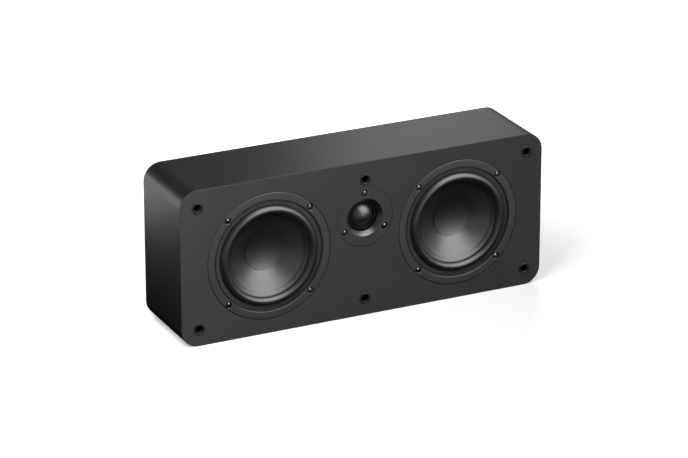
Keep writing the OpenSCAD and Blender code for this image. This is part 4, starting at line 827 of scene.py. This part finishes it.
def nutShape():
    # fluted nut: r is drawn in by a narrow round groove at each flute, and not where the ends are bevelled
    flutes, start, end = 16, -26.2, -14.2
    body = [(3.08, start), (5.8, start), (6.0, start + 0.2), (6.0, start + 1.5), (6.5, start + 1.5), (6.8, start + 1.8)]
    body += [(6.8, end - 1.2), (6.7, end - 0.8), (6.4, end - 0.35), (5.9, end - 0.05), (5.4, end), (3.6, end)]
    body += [(3.08, end - 0.4)]
    groove = lambda a, r, d: -0.42 * np.clip(np.cos(flutes * a), 0, 1) ** 2 * (r > 6.3)
    return spin("nut", body, turns=flutes * 12, base=0, ripple=groove)


def lockShape():
    # plain hexagon nut, bevelled at both ends
    a = np.linspace(0, 2 * math.pi, 6, endpoint=False)
    rows = [np.stack([s * np.cos(a), np.full(6, d), s * np.sin(a)], axis=-1) / 1000
            for d, s in ((-33, 5.3), (-32.6, 5.8), (-30.4, 5.8), (-30, 5.3))]
    return carve(gridPiece("lock", np.array(rows)), [drill(3.1, -36, -27)])


post, nut = postShape(), nutShape()
for colour, finish in (("red", redAcrylic), ("black", blackAcrylic)):
    move = shift(rear["posts"][colour], rear["y"], rear["cupZ"])
    dress(placed(f"{colour}Post", post, move), giltBrass, "gilt_brass", "cabinet", f"binding_post_{colour}")
    dress(placed(f"{colour}Nut", nut, move), finish, f"{colour}_plastic", f"{colour}_nut", f"thumb_nut_{colour}")
bpy.data.objects.remove(post)
bpy.data.objects.remove(nut)
lockMoves = [shift(x, rear["y"], rear["cupZ"]) for x in sorted(rear["posts"].values())]
dress(gather("lockNuts", [lockShape()] * 2, lockMoves), zincSteel, "plated_steel", "cabinet", "lock_nuts")

a = np.linspace(-0.5 * math.pi - 1.02, 0.5 * math.pi + 1.02, 33)
roundEnd = np.stack([5.5 * np.sin(a), -5.5 * np.cos(a)], axis=-1)      # starts and ends where the slot's sides meet it
a = np.linspace(0, math.pi, 13)
slotEnd = np.stack([2.75 * np.cos(a), 17 + 2.75 * np.sin(a)], axis=-1)
keyhole = gather("keyhole", [slab("key", np.concatenate([roundEnd, slotEnd]), 6, 0.01)], [shift(z=-0.008)])
plate = slab("plate", roundedLoop(26, 54, 4, 8), rear["plate"], 0.25)
half = rear["plate"] / 2000
carve(plate, [keyhole] + [spin("sink", countersink, (0, z), 40, closed=False, base=half)
                          for z in (-rear["hangerScrew"], rear["hangerScrew"])])
plates = gather("hangerPlates", [plate] * 2, [shift(x, rear["y"] - half, rear["hangerZ"]) for x in rear["hangers"]])
dress(plates, zincSteel, "plated_steel", "cabinet", "hangers")
outwards = Matrix.Rotation(math.pi, 4, "X")
for name, places, node in (("cupScrews", cupScrews, "cup_screws"), ("hangerScrews", hangerScrews, "hanger_screws")):
    moves = [shift(x, rear["y"], z) @ Matrix.Rotation(0.6 + 40 * x + 70 * z, 4, "Y") @ outwards for x, z in places]
    dress(gather(name, [screwShape(flatScrew)] * 4, moves), zincSteel, "plated_steel", "cabinet", node)
print("rear done")

# Crossover, in millimetres from the middle of the board's front: (x, out of the board, up); y and z are metres
board = {"y": 0.0304, "z": 0.129, "size": (64, 62), "thick": 1.6, "holes": (29, 28), "flatCoil": 13.5, "tallCoil": 12.5,
         "coilHigh": 12, "capacitor": 7, "resistor": (24, 9)}


def boardPlace(x, out, up):
    # a move to a place on the board
    return shift(x / 1000, board["y"] - out / 1000, board["z"] + up / 1000)


def coilShape(r):
    # layers of wire on a bobbin, with a bulge for each turn on every side
    corners = [(r / 2, 0), (r, 0), (r, board["coilHigh"]), (r / 2, board["coilHigh"])]
    turns = []
    for k in range(4):
        here, ahead = np.array(corners[k], float), np.array(corners[(k + 1) % 4], float)
        short = 0.35 * (ahead - here) / np.linalg.norm(ahead - here)
        turns += scallop(here + short, ahead - short, 0.9, 0.25)
    return spin("coil", turns, turns=72, base=0)


lying = Matrix.Rotation(math.pi / 2, 4, "Z")
coilMoves = [boardPlace(-16, board["coilHigh"], 15), boardPlace(12, board["tallCoil"], -15) @ lying.inverted()]
coils = gather("inductorCoils", [coilShape(board["flatCoil"]), coilShape(board["tallCoil"])], coilMoves)
dress(coils, copperWire, "copper", "cabinet", "inductors")
can = roundCorners([(0, -11, 0), (6.2, -11, 0), (6.5, -10.8, 0.2), (6.95, -10, 0.5), (6.95, 10, 0.5), (6.5, 10.8, 0.2),
                    (6.2, 11, 0), (0, 11, 0)], 3)
canMoves = [boardPlace(x, board["capacitor"], up) @ lying for x, up in ((14, 20), (-16, -8.5))]
cans = gather("capacitorCans", [spin("can", can, turns=64, closed=False, base=0)] * 2, canMoves)
dress(cans, filmWrap, "capacitor_film", "cabinet", "capacitors")
length, thick = board["resistor"]
blockMoves = [boardPlace(x, thick / 2, up) for x, up in ((16, 5.5), (-13, -23))]
blocks = gather("resistorBlocks", [slab("block", roundedLoop(length, thick, 0.9, 4), thick, 0.5)] * 2, blockMoves)
dress(blocks, castCement, "ceramic", "cabinet", "resistors")
sheet = slab("sheet", roundedLoop(*board["size"], 2, 6), board["thick"], 0.12)
holeX, holeZ = board["holes"]
fixings = [(x, z) for x in (-holeX, holeX) for z in (-holeZ, holeZ)]
carve(sheet, [drill(1.5, -3, 3, (x / 1000, z / 1000), 32) for x, z in fixings])
sheet = gather("crossoverBoard", [sheet], [boardPlace(0, -board["thick"] / 2, 0)])
dress(sheet, solderMask, "circuit_board", "cabinet", "crossover_board")
spacer = spin("spacer", ring(1.5, 3, 1.6, 6.6, 0.1, 0.3), turns=32, base=0)
screwOutline = roundCorners([(0, -1.8, 0), (1.96, -1.8, 0.4), (2.8, 0, 0.1), (1.4, 0, 0), (1.4, 6.6, 0), (0, 6.6, 0)], 3)
boardScrew = spin("boardScrew", screwOutline, turns=32, closed=False, base=0)
moves = [boardPlace(x, 0, up) for x, up in fixings]
dress(gather("boardScrews", [boardScrew] * 4, moves), zincSteel, "plated_steel", "cabinet", "board_fixings")
dress(gather("boardSpacers", [spacer] * 4, moves), mouldedNylon, "cup_plastic", "cabinet")

# Wiring: each wire is one smooth tube from a pad of the board to a tab or a post; all in millimetres
wire = {"radius": 1.0, "bend": 8, "pitch": 4.4, "padX": 5, "padStep": 6, "padLow": 102, "start": 30.15, "clear": 0.4,
        "apart": 3, "cupIn": 5, "post": (11, 50), "tweeterTab": (3.3, -16, 95.25), "wooferTab": (5, -9.465, 38.5)}
mid = midZ * 1000
low, rise, start, cupIn, clear = (wire[key] for key in ("padLow", "padStep", "start", "cupIn", "clear"))
ahead = start - wire["bend"]
postX, postZ = wire["post"]
tabX, tabY, tabZ = wire["tweeterTab"]
wooferX, wooferY, wooferZ = wire["wooferTab"]
for colour, sleeve, way in (("red", redSleeve, 1), ("grey", greySleeve, -1)):
    x, px, tx = wire["padX"] + way * wire["pitch"] / 2, way * postX, way * tabX
    runs = [[(px, cupIn - 0.3, postZ), (px, cupIn - 4, postZ), (px, cupIn - 5, postZ + 18), (x, cupIn, low - 2 * rise),
             (x, ahead, low), (x, start, low)],
            [(tx, tabY + 0.3, tabZ), (tx, tabY + 5, tabZ), (x, ahead - rise, low + rise), (x, start, low + rise)]]
    for side in (-1, 1):
        padZ = low + rise * (2 if side < 0 else 3)
        wx = side * 1000 * layout["woofer"] + way * wooferX
        y = clear - (wire["apart"] if way * side < 0 else 0)      # the two wires of a pair pass one before the other
        runs.append([(x, start, padZ), (x, ahead, padZ), (x, y, padZ - 2), (side * 27.5, y - 2, mid + 9),
                     (side * 50, y - 2, mid - 1), (side * 67.4, y - 1, mid - 30), (side * 89.4, y, wooferZ - 4),
                     (wx, wooferY + 6, wooferZ), (wx, wooferY + 0.3, wooferZ)])
    wires = gather(f"{colour}Wires", [tube(run, wire["radius"], sides=14, steps=8) for run in runs])
    dress(wires, sleeve, "wire_sleeve", "cabinet", "wiring")

# Wadding: a soft block between two x and two y, |x/a|^n + |y/b|^n + |z/c|^n = 1 in shape,
# with lumps on its front from a few crossed waves; in millimetres
wadding = {"x": (51.5, 198.75), "y": (18.685, 36.75), "high": 142, "round": 0.3, "crown": 0.5, "lump": 1.1}


def power(value, exponent):
    # the power of the size, with the sign kept
    return np.sign(value) * np.abs(value) ** exponent


x0, x1 = wadding["x"]
y0, y1 = wadding["y"]
up = np.linspace(-math.pi / 2, math.pi / 2, 49)[:, None]
about = np.linspace(0, 2 * math.pi, 144, endpoint=False)[None, :]
px = (x1 - x0) / 2 * power(np.cos(up), wadding["round"]) * power(np.cos(about), wadding["round"])
pz = wadding["high"] / 2 * power(np.cos(up), wadding["round"]) * power(np.sin(about), wadding["round"])
block = (y1 - y0) / 2 * power(np.sin(up), wadding["crown"]) + 0 * about
for side, sign in sides.items():
    lumps = np.sin(px / 9 + sign) * np.sin(pz / 11) + 0.6 * np.sin(px / 4.3 + pz / 5.1) * np.cos(pz / 3.7 - px / 6.2)
    sunk = np.where(block < 0, 1, 0) * (lumps + 1.6) / 1.6 * np.clip(np.cos(up) * 3, 0, 1)
    py = block + wadding["lump"] * sunk
    points = [(sign * (x0 + x1) / 2 + px) / 1000, ((y0 + y1) / 2 + py) / 1000, midZ + pz / 1000]
    pad = gridPiece(f"{side}Wadding", np.stack(points, axis=-1))
    dress(pad, waddingFibre, "wadding", "cabinet", f"wadding_{side}")
print("crossover, wiring and wadding done")

# Studio, in metres: the floor's glow goes from the first strength to the second between the two reaches
studio = {"floor": "d4d4d4", "floorGlow": (0.4, 1.0), "glowReach": (0.27, 0.55), "ambient": 0.12,
          "flag": [(-0.8, -0.6), (0.1, -0.6), (0.9, -0.9), (1.1, 0.3), (0.2, 0.3), (-0.3, 0.33), (-0.8, 0.33)]}


def stagePiece(name, corners, material):
    # one flat face that isn't part of the speaker
    mesh = bpy.data.meshes.new(name)
    mesh.from_pydata(corners, [], [tuple(range(len(corners)))])
    mesh.materials.append(material)
    piece = addObject(name, mesh)
    return piece


# white paper; what the camera and reflections see of it is lifted to pure white, less so near the speaker,
# where its shadow shows
paper = bpy.data.materials.new("paperSweep")
paper.use_nodes = True
tree = paper.node_tree
tree.nodes.clear()
path = addNode(tree, "LightPath").outputs
seen = addNode(tree, "Math", {"operation": "MAXIMUM"}, {0: path["Is Camera Ray"], 1: path["Is Glossy Ray"]}).outputs[0]
seen = addNode(tree, "Math", {"operation": "MAXIMUM"}, {0: seen, 1: path["Is Transmission Ray"]}).outputs[0]
place = addNode(tree, "TexCoord").outputs["Object"]
reach = addNode(tree, "VectorMath", {"operation": "LENGTH"}, {0: place}).outputs["Value"]
near, far = studio["glowReach"]
fade = addNode(tree, "MapRange", sockets={"Value": reach, "From Min": near, "From Max": far,
                                          "To Min": studio["floorGlow"][0], "To Max": studio["floorGlow"][1]}).outputs[0]
glow = addNode(tree, "Math", {"operation": "MULTIPLY"}, {0: seen, 1: fade}).outputs[0]
lit = addNode(tree, "BsdfDiffuse", sockets={"Color": hexColour(studio["floor"])}).outputs[0]
lift = addNode(tree, "Emission", sockets={"Strength": glow}).outputs[0]
both = addNode(tree, "AddShader", sockets={0: lit, 1: lift}).outputs[0]
addNode(tree, "OutputMaterial", sockets={"Surface": both})
stagePiece("studioFloor", [(-12, -8, 0), (12, -8, 0), (12, 16, 0), (-12, 16, 0)], paper)

world = bpy.data.worlds.new("studioWorld")
bpy.context.scene.world = world
world.use_nodes = True
tree = world.node_tree
tree.nodes.clear()
sky = addNode(tree, "Background", sockets={"Color": (1, 1, 1, 1), "Strength": studio["ambient"]}).outputs[0]
addNode(tree, "OutputWorld", sockets={"Surface": sky})

# A black sheet lies on the floor round the speaker: painted shade that only reflections see, so that its foot reflects
# dark and not the white paper; the camera doesn't see it and it throws no shadow
shadeBlack, _, shader = startMaterial("paintedShadeBlack", level=0.0)
shader.inputs["Base Color"].default_value = hexColour("0a0a0a")
shader.inputs["Roughness"].default_value = 1.0
flag = stagePiece("reflectedShadeSheet", [(x, y, 0.0006) for x, y in studio["flag"]], shadeBlack)
flag.visible_camera = flag.visible_shadow = flag.visible_diffuse = False

# softboxes: place, target, width and height, and how many times as bright as white paper;
# some serve only the gloss and the others only the matt colours
lamps = {
    "keySoftbox": ((0.98, -1.7, 1.2), (0, 0, 0.09), (2.4, 1.9), 5.2, "gloss"),
    "topSoftbox": ((0.48, -0.42, 1.8), (0, 0, 0.09), (2.1, 1.2), 4.4, "gloss"),
    "backSoftbox": ((0.52, 0.8, 0.55), (0.1, 0, 0.18), (0.32, 0.32), 2.0, "gloss"),
    "cornerSoftbox": ((-1.25, 1.85, 0.24), (-0.2, 0, 0.15), (1.0, 0.44), 3.0, "gloss"),
    "rightSoftbox": ((2.0, 0.1, 1.1), (0, 0, 0.1), (0.9, 0.9), 2.6, "gloss"),
    "mainLamp": ((-0.45, -0.36, 0.66), (-0.08, 0, 0.1), (0.5, 0.5), 12.5, "matt"),
    "rearLamp": ((0.8, 1.5, 1.2), (0, 0, 0.1), (0.8, 0.8), 16.0, "matt"),
}
for name, (place, target, (width, height), white, serves) in lamps.items():
    lamp = bpy.data.lights.new(name, "AREA")
    lamp.shape, lamp.size, lamp.size_y, lamp.energy = "RECTANGLE", width, height, white * math.pi * width * height
    holder = addObject(name, lamp)
    holder.location = place
    holder.rotation_euler = (Vector(target) - Vector(place)).to_track_quat("-Z", "Y").to_euler()
    holder.visible_camera, holder.visible_glossy, holder.visible_diffuse = False, serves == "gloss", serves == "matt"

# the photograph's view: from the left and above, with a long lens
view = {"lens": 184.7, "sensor": 36, "place": (-1.5702, -3.2235, 1.5026), "right": (0.89916, -0.43763, 0),
        "up": (0.16109, 0.33097, 0.92979), "forward": (0.40690, 0.83603, -0.36809)}
lens = bpy.data.cameras.new("productCamera")
lens.lens, lens.sensor_width, lens.sensor_fit = view["lens"], view["sensor"], "HORIZONTAL"
camera = addObject("productCamera", lens)
turn = Matrix((Vector(view["right"]), Vector(view["up"]), -Vector(view["forward"]))).transposed().to_4x4()
camera.matrix_world = shift(*view["place"]) @ turn
bpy.context.scene.camera = camera
bpy.context.scene.view_settings.view_transform = "Standard"
print("stage, lamps and camera done")
